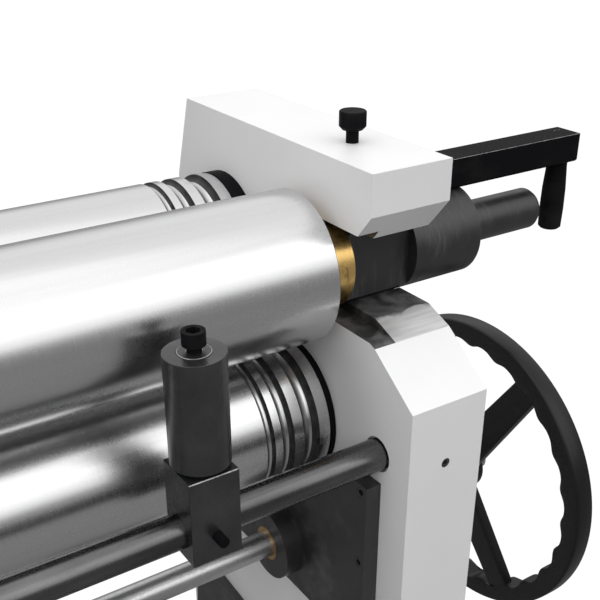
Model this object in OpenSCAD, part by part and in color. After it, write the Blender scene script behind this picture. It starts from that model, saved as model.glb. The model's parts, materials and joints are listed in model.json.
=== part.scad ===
// Three-roll bending machine with grooved rolls and a swing-out top roll
// Millimetres, +Z up, origin on the floor at the centre of the anchor holes,
// +X along the rolls to the handwheel end, the operator stands at -Y.

/* [Rolls] */
// Diameter of the top and lower rolls
roll_d = 120; // [110:1:124]
// Working length of the rolls
roll_l = 1050; // [700:10:1600]
// Diameter of the rear roll
rear_d = 110; // [96:1:114]
// Height of the top roll axis above the floor
axis_h = 950; // [900:5:1100]
// Distance of the lower roll axis behind the top roll axis
lower_back = 22; // [18:1:26]
// Drop of the lower roll axis below the top roll axis
lower_drop = 137; // [136:1:139]
// Distance of the rear roll axis behind the top roll axis
rear_back = 131.4; // [128:0.2:140]
// Drop of the rear roll axis below the top roll axis
rear_drop = 16.5; // [12:0.5:20]
// Lean of the rear roll guides from the vertical, in degrees
rear_lean = 5; // [3:0.5:6]
// Radius of the edge chamfer on the roll ends
roll_chamfer = 0.8; // [0.4:0.1:1.5]
// Width of the widest wire groove
groove_w = 14.8; // [12:0.2:16]
// Narrowing from one wire groove to the next
groove_step = 3.5; // [2:0.1:4]
// Width of the land between the roll end and the widest wire groove
groove_land = 11.3; // [9:0.1:13]
// Narrowing from one land to the next
groove_land_step = 2.3; // [1:0.1:3]

/* [Side frames] */
// Thickness of a side frame
frame_t = 72; // [66:1:84]
// Gap between the end of the top roll and a side frame
frame_gap = 14.4; // [12:0.2:18]
// Distance of the frame front before the top roll axis
frame_front = 130.2; // [126:0.2:136]
// Distance of the frame back behind the top roll axis
frame_back = 246; // [236:1:260]
// Height of the frame top above the top roll axis
frame_rise = 88.5; // [84:0.5:96]
// Distance of the upper jaw nose before the top roll axis
nose_front = 73.7; // [70:0.1:76]
// Half of the mouth height at its narrow land
mouth_half = 31.35; // [30:0.05:33]
// Depth of the wider step in the mouth, for the brass bush flange
mouth_step = 19.3; // [17:0.1:22]

/* [Release sleeve] */
// Radius of the release sleeve
sleeve_r = 38; // [36:0.5:40]
// Half of the width across the sleeve flats
flat_half = 27; // [26.5:0.1:28]
// Length of the sleeve from the brass flange to its end cap
sleeve_l = 116; // [112:1:122]
// Radius of the roll journal inside the sleeve
sleeve_journal_r = 19; // [17:0.5:20]
// Radius of the pull stub
stub_r = 18; // [16:0.5:19]
// Length of the pull stub
stub_l = 93; // [80:1:100]
// Width of the lever bar
lever_w = 27; // [24:0.5:30]
// Height of the lever bar
lever_h = 25.2; // [23:0.2:28]
// Length of the lever bar
lever_l = 190; // [180:1:210]
// Length of the lever handle
handle_l = 67; // [60:1:80]
// Radius of the lever handle near its lower end
handle_r = 12; // [11:0.25:13]

/* [Guide] */
// Radius of the round guide bar
bar_r = 12.8; // [12:0.2:14]
// Distance of the guide bar before the top roll axis
bar_front = 92; // [90:0.5:94]
// Drop of the guide bar below the top roll axis
bar_drop = 128.5; // [127:0.5:131]
// Width of the square guide block
block_w = 38; // [36:0.5:42]
// Height of the square guide block
block_h = 68; // [64:1:74]
// Radius of the guide roller
guide_r = 21.1; // [19:0.1:22.5]
// Height of the guide roller
guide_h = 81.5; // [70:0.5:85]
// Distance of the right guide roller from the end of the top roll
guide_in = 137; // [110:1:160]

/* [Adjusting drives] */
// Outer radius of a handwheel
wheel_r = 151; // [140:1:155]
// Distance of a handwheel's outer face from the frame
wheel_out = 155; // [150:1:165]
// Radius of the cross shafts
cross_r = 12; // [11:0.5:13]
// Drop of the lower cross shaft below the top roll axis
lower_cross_drop = 277; // [272:1:284]
// Drop of the rear cross shaft below the top roll axis
rear_cross_drop = 560; // [555:1:580]
// Radius of the lifting screws
screw_r = 11; // [10:0.5:12]

/* [Bed] */
// Height of the bed beams
bed_h = 180; // [150:5:200]
// Width of a bed beam
beam_w = 90; // [80:1:110]
// Width of a cross foot along the machine
foot_w = 190; // [170:5:220]
// Distance between the anchor holes across the machine
anchor_y = 560; // [520:10:620]
// Radius of an anchor hole
anchor_r = 9; // [7:0.5:11]

/* [Hidden] */
// Fits and shared values
slip = 0.05;
fit = 0.15;
seat = 0.3;
over = 2;
$fn = 64;
right_angle = 90;
axis_y = -50;
half_l = roll_l / 2;
roll_r = roll_d / 2;
rear_r = rear_d / 2;
socket_share = 0.6;
groove_n = 3;
groove_depth_share = 0.46;

// Places along X, measured from the end of the top roll
frame_in = frame_gap;
frame_x = half_l + frame_in;

// Travel of the rolls: positive is towards the top roll
lower_up = 16;
lower_down = 4;
rear_up = 12;
rear_down = 60;

// Roll ends, journals and bearings
lower_end = 9.3;
rear_end = 1.3;
lower_journal_r = 27;
rear_journal_r = 24;
bush_wall = 5;
lower_block_r = 41.9;
rear_block_r = 36;
block_foot_share = 1.15;
slide_fit = 0.1;
bearing_in = 4;
bearing_t = frame_t - bearing_in - bearing_in;
slot_end = 1.5;

// Release sleeve and mouth
ring_r = 38.4;
ring_l = 29;
bush_r = 23;
seat_clear = 0.3;
step_r = 38.9;
flat_l = 60;
cap_t = 11.9;
stub_chamfer = 6;
mouth_lip = 58.4;
mouth_paint = 83.6;
mouth_paint_drop = 41.2;
mouth_front_drop = 75;
jaw_lip = 52;
jaw_rise = 56.9;
back_slope_y = 222.6;
back_slope_z = 15;
back_top_y = 198;
lock_from_roll = 51;
lock_x = lock_from_roll - frame_in;
lock_shank_r = 4.9;
lock_head_r = 12.5;
lock_head_h = 11;
lock_cone_h = 3.85;
lock_neck_share = 0.7;
lock_show = 13;
lock_travel = 14;

// Lever
lever_gap = 14;
lever_bolt_r = 5;
lever_bolt_head_r = 8;
lever_bolt_head_h = 9;
lever_bolt_pitch = 21;
lever_first = 14;
lever_edge = 2;
handle_top_r = 10;
stud_r = 6;

// Guide parts
bar_in = 48;
bar_mouth_r = 14.6;
bar_mouth_l = 6;
set_r = 4;
guide_gap = 3.5;
guide_screw_r = 5;
guide_head_r = 8;
guide_head_h = 10;
guide_raise = 5;
guide_bush_r = 11.5;
guide_bush_rise = 0.5;
block_screw_r = 4;
block_screw_l = 16;

// Cross shafts, bevels and screws
bevel_r = 22;
bevel_t = 9;
bevel_hub_r = 18;
bevel_hub_l = 9;
bevel_teeth = 14;
bevel_groove = 2.4;
pocket_y = 34;
pocket_z = 32;
screw_clear = 2;
nut_hold = 12;
nut_collar_r = 27;
nut_collar_t = 5;
ledge_t = 6;
cover_lap = 10;
plate_t = 14;
plate_w = 240.8;
plate_top = 152.6;
plate_low = 322;
plate_notch_r = 76;
boss_r = 34;
boss_l = 18;
boss_bush_r = 16;
flange_t = 12;
plate_screw_in = 7;
plate_middle_share = 0.45;
cap_screw_r = 3;
cap_screw_head_r = 5;
cap_screw_head_h = 6;

// Handwheels
rim_w = 21;
rim_t = 15;
wave_n = 24;
spoke_w = 27;
spoke_t = 12;
wheel_hub_r = 30;
wheel_hub_l = 52;
wheel_bore_r = cross_r + slip;
spoke_angle = 59;
wave_angle = 10;
wave_d = 7;
wave_r = 19;

// Drive at the left end
gear_teeth = 12;
gear_w = 46;
gear_pitch_r = (roll_d + 4) / 2;
gear_add = 9.6;
gear_ded = 14;
gear_tip_w = 5.6;
gear_root_w = 16.4;
gear_gap = 10;
top_journal_r = 25;
box_gap = 16;
box_w = 120;
box_h = 210;
box_d = 190;
box_boss_r = 44;
motor_r = 70;
motor_l = 250;
box_clear = 4;
torque_in = 20;
fin_n = 16;
fin_t = 3;
torque_r = 8;
motor_flange_t = 14;
cover_l = 290;
cover_t = 3;
cover_inset = 5;
panel_w = 130;
panel_h = 190;
panel_t = 70;
button_r = 11;
button_l = 12;
button_travel = 4;
stop_r = 20;

// Bed
foot_h = 40;
foot_ear = 70;
foot_ear_t = 22;
beam_wall = 8;
tie_r = 22;
frame_bolt_r = 10;

// Places in Y and Z of every shaft
top_at = [axis_y, axis_h];
lower_at = [axis_y + lower_back, axis_h - lower_drop];
rear_at = [axis_y + rear_back, axis_h - rear_drop];
bar_at = [axis_y - bar_front, axis_h - bar_drop];
lower_cross_at = [lower_at[0], axis_h - lower_cross_drop];
rear_cross_z = axis_h - rear_cross_drop;
rear_cross_at = [rear_at[0] + (rear_at[1] - rear_cross_z) * tan(rear_lean), rear_cross_z];
front_tie_share = 0.62;
back_tie_share = 0.3;
front_tie_rise = 150;
back_tie_rise = 95;
tie_at = [
  [axis_y - frame_front * front_tie_share, bed_h + front_tie_rise],
  [axis_y + frame_back * back_tie_share, bed_h + back_tie_rise]
];
frame_foot = bed_h;

// Spherical bearing at the left end of the top roll
swivel_r = 46;
swivel_ring_w = 44;
swivel_ball_r = 38;
swivel_ball_w = 40;
swivel_bore_share = 0.86;

// Guide block and roller, from the guide bar's axis
guide_x = half_l - guide_in;
block_low = 20;
block_top = block_h - block_low;
guide_top = block_top + guide_gap + guide_h;

// Turn of the gears, so that a tooth of one points at a gap of the other
mesh_angle = atan2(-lower_drop, lower_back);

// Turns a shape drawn in (Y, Z) and extruded along +X into place, starting at x
module along_x(x, l) {
  translate([x, 0, 0]) rotate([right_angle, 0, right_angle]) linear_extrude(height = l) children();
}

// Round bar along +X
module bar_x(x, l, r) {
  translate([x, 0, 0]) rotate([0, right_angle, 0]) cylinder(h = l, r = r);
}

// Moves children to a shaft place
module at(place, x = 0) {
  translate([x, place[0], place[1]]) children();
}

// Copies children to both ends, mirrored
module both_ends() {
  children();
  mirror([1, 0, 0]) children();
}

// Side frames
module frame_outline() {
  translate(top_at) polygon([
    [-frame_front, frame_foot - axis_h],
    [frame_back, frame_foot - axis_h],
    [frame_back, -frame_front],
    [back_slope_y, back_slope_z],
    [back_top_y, frame_rise],
    [-nose_front, frame_rise],
    [-nose_front, jaw_rise],
    [-jaw_lip, mouth_half],
    [0, mouth_half],
    [0, -mouth_half],
    [-mouth_lip, -mouth_half],
    [-mouth_paint, -mouth_paint_drop],
    [-frame_front, -mouth_front_drop]
  ]);
}

// The closed left frame, drawn in by an inset for the drive cover
module left_outline(inset = 0) {
  translate(top_at) polygon([
    [inset - frame_front, frame_foot - axis_h + inset],
    [frame_back - inset, frame_foot - axis_h + inset],
    [frame_back - inset, -frame_front],
    [back_slope_y - inset, back_slope_z],
    [back_top_y - inset, frame_rise - inset],
    [inset - nose_front - mouth_step, frame_rise - inset],
    [inset - frame_front, jaw_rise - inset]
  ]);
}

// Slot for a bearing block: round at the end near the top roll, square below
module block_slot(r, up, down) {
  bar_x(frame_x - over, frame_t + over * 2, r + slide_fit, $fn = 96);
  translate([0, 0, up]) bar_x(frame_x - over, frame_t + over * 2, r + slide_fit);
  low = r * block_foot_share + down;
  translate([frame_x - over, -r - slide_fit, -low - slot_end])
    cube([frame_t + over * 2, (r + slide_fit) * 2, low + slot_end + up]);
}

// Everything that both frames have cut out of them
module frame_cuts() {
  at(lower_at) block_slot(lower_block_r, lower_up, lower_down);
  at(rear_at) rotate([rear_lean, 0, 0]) block_slot(rear_block_r, rear_up, rear_down);
  // Bore of the guide bar with its wider mouth
  at(bar_at) bar_x(frame_x - over, bar_in + over, bar_r + fit);
  at(bar_at) bar_x(frame_x - over, bar_mouth_l + over, bar_mouth_r);
  // Tapped hole of the guide bar's set screw, in the frame front
  translate([frame_x + frame_t / 2, axis_y - frame_front - over, bar_at[1]])
    rotate([-right_angle, 0, 0]) cylinder(h = frame_front - bar_front + over, r = set_r + slip);
  // Lifting screw bores and bevel pockets
  lifting_cuts(lower_at, lower_cross_at, 0, lower_up, lower_down);
  lifting_cuts(rear_at, rear_cross_at, rear_lean, rear_up, rear_down);
  // Tie bar seats
  for (place = tie_at) at(place) bar_x(frame_x - over, frame_t / 2 + over, tie_r + fit);
  // Bolts into the foot
  for (y = frame_bolt_places()) translate([frame_x + frame_t / 2, y, frame_foot - over])
    cylinder(h = frame_bolt_depth() + over, r = frame_bolt_r + slip);
}

function frame_bolt_places() = [
  axis_y - frame_front * 0.75, axis_y + (frame_back - frame_front) * 0.35, axis_y + frame_back * 0.82
];
function frame_bolt_depth() = foot_h;

// A lifting screw ends above the cross shaft at its lowest, and its nut holds it at its highest
function screw_low(down) = cross_r + screw_clear + down;
function nut_top(up, down) = screw_low(down) + up + nut_hold;
function ledge_low() = bevel_r + seat * 2;
// The nut is put in from the side and let down through the ledge that carries its collar
function window_top(up, down) = nut_top(up, down) + bevel_t + ledge_t + over;

// Bore from a bearing block down to its bevel pocket, the pocket, its ledge and the nut's window
module lifting_cuts(from, to, lean, up, down) {
  rise = (from[1] - to[1]) / cos(lean);
  window_low = ledge_low() + ledge_t;
  at(to, frame_x + frame_t / 2) rotate([lean, 0, 0]) {
    cylinder(h = rise, r = screw_r + fit);
    cylinder(h = window_low + over, r = bevel_r + seat);
    translate([-frame_t / 2 - over, -pocket_y, -pocket_z])
      cube([frame_t + over * 2, pocket_y * 2, pocket_z + ledge_low()]);
    translate([-frame_t / 2 - over, -pocket_y, window_low])
      cube([frame_t + over * 2, pocket_y * 2, window_top(up, down) - window_low]);
  }
}

module frame_right() {
  color("gainsboro") difference() {
    along_x(frame_x, frame_t) frame_outline();
    at(top_at) bar_x(frame_x - over, mouth_step + over, step_r, $fn = 96);
    translate([frame_x - over, axis_y - frame_front, axis_h - step_r])
      cube([mouth_step + over, frame_front, step_r * 2]);
    at(top_at) bar_x(frame_x, frame_t + over, sleeve_r + seat_clear, $fn = 96);
    translate([frame_x + lock_x, axis_y, axis_h]) cylinder(h = frame_rise + over, r = lock_shank_r + slip);
    frame_cuts();
  }
}

module frame_left() {
  color("gainsboro") difference() {
    mirror([1, 0, 0]) difference() {
      along_x(frame_x, frame_t) left_outline();
      frame_cuts();
    }
    at(top_at) bar_x(-frame_x - frame_t - over, frame_t + over * 2, swivel_r + slip, $fn = 96);
  }
}

// Spherical bearing, about which the top roll swings out
module swivel_housing() {
  color("dimgray") difference() {
    at(top_at) bar_x(-frame_x - frame_mid_t() - swivel_ring_w / 2, swivel_ring_w, swivel_r);
    at(top_at, -frame_x - frame_mid_t()) sphere(r = swivel_ball_r + slip);
    at(top_at) bar_x(-frame_x - frame_t, frame_t, swivel_ball_r * swivel_bore_share);
  }
}

function frame_mid_t() = frame_t / 2;

module swivel_ball() {
  color("silver") difference() {
    intersection() {
      at(top_at, -frame_x - frame_mid_t()) sphere(r = swivel_ball_r);
      at(top_at) bar_x(-frame_x - frame_mid_t() - swivel_ball_w / 2, swivel_ball_w, swivel_ball_r);
    }
    at(top_at) bar_x(-frame_x - frame_t, frame_t, top_journal_r + slip);
  }
}

// Rolls
// Wire groove of nearly half-round section, cut into a roll of radius r at x
module wire_groove(x, r, w) {
  translate([x, 0, 0]) rotate([0, right_angle, 0])
    rotate_extrude($fn = 96) translate([r + w / 2 - w * groove_depth_share, 0]) circle(r = w / 2, $fn = 24);
}

// Widths of the grooves and lands, the widest nearest the roll end
function groove_width(i) = groove_w - groove_step * i;
function land_width(i) = groove_land - groove_land_step * i;
// Distance from the roll end to the near edge of groove i
function groove_start(i) = land_width(i) + (i > 0 ? groove_start(i - 1) + groove_width(i - 1) : 0);

module wire_grooves(end, r) {
  for (i = [0:groove_n - 1])
    wire_groove(end - groove_start(i) - groove_width(i) / 2, r, groove_width(i));
}

// Roll body with chamfered ends, journals cut square
module roll_body(half, r) {
  rotate([0, right_angle, 0]) rotate_extrude($fn = 128) polygon([
    [0, -half], [r - roll_chamfer, -half], [r, -half + roll_chamfer],
    [r, half - roll_chamfer], [r - roll_chamfer, half], [0, half]
  ]);
}

module top_roll() {
  color("silver") at(top_at) union() {
    roll_body(half_l, roll_r);
    bar_x(half_l, ring_l + sleeve_l - cap_t, sleeve_journal_r);
    bar_x(-half_l - top_journal_out(), top_journal_out(), top_journal_r);
    bar_x(-frame_x + seat, frame_gap - seat, top_journal_r + bush_wall);
  }
}

function gear_x() = frame_x + frame_t + gear_gap;
function box_x() = gear_x() + gear_w + box_gap;
function top_journal_out() = box_x() + box_w - half_l;

module lower_roll() {
  color("silver") at(lower_at) difference() {
    union() {
      roll_body(half_l + lower_end, roll_r);
      bar_x(half_l, frame_in + frame_t - bearing_in, lower_journal_r);
      bar_x(-gear_x() - gear_w, gear_x() + gear_w - half_l, lower_journal_r);
    }
    wire_grooves(half_l + lower_end, roll_r);
  }
}

module rear_roll() {
  color("silver") at(rear_at) difference() {
    union() {
      roll_body(half_l + rear_end, rear_r);
      bar_x(-frame_x - frame_t + bearing_in, (frame_x + frame_t - bearing_in) * 2, rear_journal_r);
    }
    wire_grooves(half_l + rear_end, rear_r);
  }
}

// Black thrust rings between the roll ends and the frames
module thrust_rings(place, end, r, bore) {
  color("dimgray") at(place) both_ends() difference() {
    bar_x(half_l + end, frame_in - end - seat, r);
    bar_x(half_l + end - over, frame_in + over, bore + slip);
  }
}

module lower_thrust_rings() { thrust_rings(lower_at, lower_end, roll_r, lower_journal_r); }
module rear_thrust_rings() { thrust_rings(rear_at, rear_end, rear_r, rear_journal_r); }

// Bearing blocks, at the right end; the left ones are mirrored
module bearing_block(r, bore) {
  low = r * block_foot_share;
  difference() {
    union() {
      bar_x(frame_x + bearing_in, bearing_t, r, $fn = 96);
      translate([frame_x + bearing_in, -r, -low]) cube([bearing_t, r * 2, low]);
    }
    bar_x(frame_x, frame_t, bore);
  }
}

module lower_block(side) {
  color("slategray") at(lower_at) mirror([side, 0, 0])
    bearing_block(lower_block_r, lower_journal_r + bush_wall);
}

module rear_block(side) {
  color("slategray") at(rear_at) mirror([side, 0, 0]) rotate([rear_lean, 0, 0])
    bearing_block(rear_block_r, rear_journal_r + bush_wall);
}

module lower_block_right() { lower_block(0); }
module lower_block_left() { lower_block(1); }
module rear_block_right() { rear_block(0); }
module rear_block_left() { rear_block(1); }

// Bronze bushes pressed into the blocks
module block_bushes(place, bore) {
  color("peru") at(place) both_ends() difference() {
    bar_x(frame_x + bearing_in, bearing_t, bore + bush_wall);
    bar_x(frame_x, frame_t, bore + slip);
  }
}

module lower_bushes() { block_bushes(lower_at, lower_journal_r); }
module rear_bushes() { block_bushes(rear_at, rear_journal_r); }

// Lifting screws, fixed under the bearing blocks
function lower_span() = lower_cross_drop - lower_drop;
function rear_span() = (rear_at[1] - rear_cross_at[1]) / cos(rear_lean);
function lower_screw_l() = lower_span() - lower_block_r * block_foot_share - screw_low(lower_down);
function rear_screw_l() = rear_span() - rear_block_r * block_foot_share - screw_low(rear_down);

module lifting_screws(place, lean, r, l) {
  color("gray") at(place) both_ends() rotate([lean, 0, 0])
    translate([frame_x + frame_mid_t(), 0, -r * block_foot_share - l]) cylinder(h = l, r = screw_r);
}

module lower_screws() { lifting_screws(lower_at, 0, lower_block_r, lower_screw_l()); }
module rear_screws() { lifting_screws(rear_at, rear_lean, rear_block_r, rear_screw_l()); }

// Bevel gear with its small end down, apex at the origin, and a hub up to top
module bevel(bore, top) {
  difference() {
    union() {
      translate([0, 0, bevel_r - bevel_t]) cylinder(h = bevel_t, r1 = bevel_r - bevel_t, r2 = bevel_r);
      translate([0, 0, bevel_r]) cylinder(h = top - bevel_r, r = bevel_hub_r);
      children();
    }
    cylinder(h = top + over, r = bore);
    for (i = [0:bevel_teeth - 1]) rotate([0, 0, i * 360 / bevel_teeth])
      translate([bevel_r - bevel_t / 2, 0, bevel_r - bevel_t / 2]) rotate([0, right_angle / 2, 0])
        translate([-bevel_groove, -bevel_groove / 2, -bevel_t]) cube([bevel_groove * 2, bevel_groove, bevel_t * 2]);
  }
}

// Long nut of a lifting screw, with bevel teeth and a collar on the ledge; side is 1 right, -1 left
module bevel_nut(place, lean, side, up, down) {
  color("darkgoldenrod") at(place, side * (frame_x + frame_mid_t())) rotate([lean, 0, 0])
    translate([0, 0, seat]) bevel(screw_r + slip, nut_top(up, down))
      translate([0, 0, ledge_low() + ledge_t]) cylinder(h = nut_collar_t, r = nut_collar_r);
}

module lower_nut_right() { bevel_nut(lower_cross_at, 0, 1, lower_up, lower_down); }
module lower_nut_left() { bevel_nut(lower_cross_at, 0, -1, lower_up, lower_down); }
module rear_nut_right() { bevel_nut(rear_cross_at, rear_lean, 1, rear_up, rear_down); }
module rear_nut_left() { bevel_nut(rear_cross_at, rear_lean, -1, rear_up, rear_down); }

// Cross shaft with its two bevel pinions
module cross_shaft(place) {
  color("silver") at(place) {
    bar_x(-frame_x - frame_t, frame_x * 2 + frame_t * 2 + wheel_out, cross_r);
    both_ends() translate([frame_x + frame_mid_t(), 0, 0])
      rotate([0, -right_angle, 0]) translate([0, 0, seat]) bevel(cross_r + slip, bevel_r + bevel_hub_l);
  }
}

module lower_cross_shaft() { cross_shaft(lower_cross_at); }
module rear_cross_shaft() { cross_shaft(rear_cross_at); }

// Black notched plate with the shaft boss, on the inner face of a frame
module shaft_plate() {
  difference() {
    union() {
      translate([frame_x - seat - plate_t, lower_at[0] - plate_w / 2, axis_h - plate_low])
        cube([plate_t, plate_w, plate_low - plate_top]);
      at(lower_cross_at) bar_x(frame_x - seat - plate_t - boss_l, boss_l, boss_r);
    }
    at(lower_at) bar_x(frame_x - plate_t - over, plate_t + over * 2, plate_notch_r, $fn = 96);
    at(lower_cross_at) bar_x(frame_x - plate_t - boss_l - over, plate_t + boss_l + over * 2, boss_bush_r + slip);
    for (place = plate_screw_places()) at(place) {
      bar_x(frame_x - plate_t - over, plate_t + over * 2, cap_screw_r + slip);
      bar_x(frame_x - plate_t - over, cap_screw_head_h + over, cap_screw_head_r + fit);
    }
  }
}

// The screws lie flush, near the plate's corners and ends
function plate_screw_places() = [
  for (side = [-1, 1], z = [
    axis_h - plate_top - plate_screw_in,
    axis_h - plate_top - (plate_low - plate_top) * plate_middle_share,
    axis_h - plate_low + plate_screw_in
  ]) [lower_at[0] + side * (plate_w / 2 - plate_screw_in), z]
];

module shaft_plate_right() { color("dimgray") shaft_plate(); }
module shaft_plate_left() { color("dimgray") mirror([1, 0, 0]) shaft_plate(); }

// Socket cap screw along +X: the head starts at x and the shank goes on
module cap_screw(x, r, l, head_r, head_h) {
  difference() {
    union() {
      bar_x(x - head_h, head_h, head_r);
      bar_x(x, l, r);
    }
    translate([x - head_h - over, 0, 0]) rotate([0, right_angle, 0])
      cylinder(h = head_h * socket_share + over, r = r, $fn = 6);
  }
}

// Black fasteners of both frames: plate screws and the guide bar's set screws
module frame_screws() {
  color("black") both_ends() {
    for (place = plate_screw_places()) at(place)
      cap_screw(frame_x - plate_t + cap_screw_head_h - seat, cap_screw_r, plate_t - cap_screw_head_h,
        cap_screw_head_r, cap_screw_head_h);
    translate([frame_x + frame_t / 2, axis_y - frame_front, bar_at[1]])
      rotate([0, 0, right_angle]) difference() {
        bar_x(seat, frame_front - bar_front - bar_r - seat * 2, set_r);
        rotate([0, right_angle, 0]) cylinder(h = set_r, r = set_r / 2, $fn = 6);
      }
  }
}

// Bronze bushes of the cross shafts
module cross_bushes() {
  color("peru") both_ends() {
    at(lower_cross_at) difference() {
      bar_x(frame_x - seat - plate_t - boss_l - seat, plate_t + boss_l, boss_bush_r);
      bar_x(frame_x - plate_t - boss_l - over, plate_t + boss_l + over * 2, cross_r + slip);
    }
    at(rear_cross_at) difference() {
      bar_x(frame_x - seat - flange_t * 2, flange_t * 2, boss_bush_r);
      bar_x(frame_x - flange_t * 2 - over, flange_t * 2 + over * 2, cross_r + slip);
    }
  }
}

// Bossed plates that carry the rear cross shaft and close its nuts' windows inside the frames
module rear_flanges() {
  color("dimgray") at(rear_cross_at) both_ends() difference() {
    union() {
      bar_x(frame_x - seat - flange_t * 2, flange_t * 2, boss_r);
      rotate([rear_lean, 0, 0])
        window_plate(frame_x - seat - flange_t, flange_t, pocket_y, window_top(rear_up, rear_down));
    }
    bar_x(frame_x - flange_t * 2 - over, flange_t * 2 + over * 2, boss_bush_r + slip);
  }
}

// Plate that laps a window half wide, from below the bevel pocket up to a height above the cross shaft
module window_plate(x, t, half, high) {
  translate([x, -half - cover_lap, -pocket_z - cover_lap])
    cube([t, (half + cover_lap) * 2, pocket_z + high + cover_lap * 2]);
}

// Covers over the nuts' windows and the bearing slots, on the outer faces of the frames
module face_cover(place, lean, half, high) {
  at(place) difference() {
    rotate([lean, 0, 0]) window_plate(frame_x + frame_t + seat, flange_t / 2, half, high);
    bar_x(frame_x + frame_t, flange_t, cross_r + seat);
  }
}

function lower_slot_top() = lower_span() + lower_up + lower_block_r;
function rear_slot_top() = rear_span() + rear_up + rear_block_r;

module pocket_covers() {
  color("gainsboro") {
    face_cover(lower_cross_at, 0, lower_block_r, lower_slot_top());
    both_ends() face_cover(rear_cross_at, rear_lean, rear_block_r, rear_slot_top());
    mirror([1, 0, 0]) face_cover(lower_cross_at, 0, pocket_y, window_top(lower_up, lower_down));
  }
}

// Handwheel about +X with a finger-grip inner edge; its outer face is at x = 0
module handwheel_form() {
  inner = wheel_r - rim_t - wave_d / 2;
  crown = rim_t * 0.45;
  difference() {
    union() {
      difference() {
        rotate([0, right_angle, 0]) rotate_extrude($fn = 128) polygon([
          [inner, -rim_w * 0.25], [inner + wave_d, 0], [wheel_r - crown, 0],
          [wheel_r, -rim_w * 0.3], [wheel_r, -rim_w * 0.7], [wheel_r - crown, -rim_w],
          [inner + wave_d, -rim_w], [inner, -rim_w * 0.75]
        ]);
        for (i = [0:wave_n - 1]) rotate([-wave_angle - i * 360 / wave_n, 0, 0])
          translate([0, wave_r - inner - wave_d, 0]) bar_x(-rim_w - over, rim_w + over * 2, wave_r, $fn = 48);
      }
      for (i = [0:2]) rotate([-spoke_angle - i * 120, 0, 0])
        translate([-rim_w / 2 - spoke_t / 2, -inner - wave_d, -spoke_w / 2])
          cube([spoke_t, inner + wave_d, spoke_w]);
      bar_x(-wheel_hub_l, wheel_hub_l - rim_w * 0.2, wheel_hub_r);
    }
    bar_x(-wheel_hub_l - over, wheel_hub_l + over * 2, wheel_bore_r);
  }
}

module lower_handwheel() {
  color("black") at(lower_cross_at, frame_x + frame_t + wheel_out) handwheel_form();
}

module rear_handwheel() {
  color("black") at(rear_cross_at, frame_x + frame_t + wheel_out) handwheel_form();
}

// Release sleeve: flatted inside the frame, round outside it
module release_sleeve() {
  start = half_l + ring_l + seat;
  color("dimgray") at(top_at) difference() {
    bar_x(start, sleeve_l, sleeve_r, $fn = 96);
    bar_x(start - over, sleeve_l + over * 2, bush_r + slip);
    for (s = [0, 1]) mirror([0, s, 0]) {
      translate([start - over, -sleeve_r - over, -sleeve_r])
        cube([flat_l + over, sleeve_r + over - flat_half, sleeve_r * 2]);
    }
    for (x = lever_bolt_places()) translate([x, 0, flat_half])
      cylinder(h = sleeve_r - flat_half + over, r = lever_bolt_r + slip);
  }
}

function lever_x() = frame_x + frame_t + lever_gap;
function lever_bolt_places() = [lever_x() + lever_first, lever_x() + lever_first + lever_bolt_pitch];
function handle_x() = lever_x() + lever_l - handle_top_r;

// Brass bush, with the flange that shows between the roll and the sleeve
module brass_bush() {
  color("goldenrod") at(top_at) difference() {
    union() {
      bar_x(half_l + seat, ring_l - seat, ring_r, $fn = 96);
      bar_x(half_l + ring_l, sleeve_l - cap_t, bush_r);
    }
    bar_x(half_l - over, ring_l + sleeve_l + over * 2, sleeve_journal_r + slip);
  }
}

// End cap of the sleeve with the pull stub
module pull_stub() {
  x = half_l + ring_l + seat + sleeve_l;
  color("dimgray") at(top_at) union() {
    bar_x(x, cap_t, sleeve_r, $fn = 96);
    translate([x + cap_t, 0, 0]) rotate([0, right_angle, 0]) rotate_extrude($fn = 64) polygon([
      [0, 0], [stub_r, 0], [stub_r, stub_l - stub_chamfer],
      [stub_r - stub_chamfer * 0.4, stub_l - stub_chamfer * 0.4], [stub_r - stub_chamfer, stub_l], [0, stub_l]
    ]);
  }
}

// Lever bar on top of the sleeve
module lever_bar() {
  bottom = sleeve_r + seat;
  color("black") at(top_at, lever_x()) difference() {
    rotate([right_angle, 0, right_angle]) linear_extrude(height = lever_l) polygon([
      [-lever_w / 2, bottom + lever_edge], [-lever_w / 2 + lever_edge, bottom],
      [lever_w / 2 - lever_edge, bottom], [lever_w / 2, bottom + lever_edge],
      [lever_w / 2, bottom + lever_h], [-lever_w / 2, bottom + lever_h]
    ]);
    for (x = lever_bolt_places()) translate([x - lever_x(), 0, bottom - over]) {
      cylinder(h = lever_h + over * 2, r = lever_bolt_r + slip);
      translate([0, 0, lever_h + over - lever_bolt_head_h])
        cylinder(h = lever_bolt_head_h + over, r = lever_bolt_head_r + fit);
    }
    translate([lever_l - handle_top_r, 0, bottom - over]) cylinder(h = lever_h + over * 2, r = stud_r + slip);
  }
}

module lever_screws() {
  color("black") at(top_at) for (x = lever_bolt_places())
    translate([x, 0, sleeve_r + seat + lever_h]) rotate([0, right_angle, 0])
      cap_screw(lever_bolt_head_h, lever_bolt_r, lever_h + sleeve_r - flat_half - lever_bolt_head_h,
        lever_bolt_head_r, lever_bolt_head_h);
}

// Handle hanging from the lever, swelling towards its lower end, with its riveted stud
module lever_handle() {
  color("black") at(top_at, handle_x()) union() {
    translate([0, 0, sleeve_r]) rotate([180, 0, 0]) rotate_extrude() polygon([
      [0, 0], [handle_top_r, 0], [handle_top_r, handle_l * 0.08],
      [handle_r * 0.97, handle_l * 0.4], [handle_r, handle_l * 0.7],
      [handle_r * 0.97, handle_l * 0.96], [handle_r * 0.75, handle_l], [0, handle_l]
    ]);
    translate([0, 0, sleeve_r]) cylinder(h = lever_h + seat, r = stud_r);
  }
}

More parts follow.
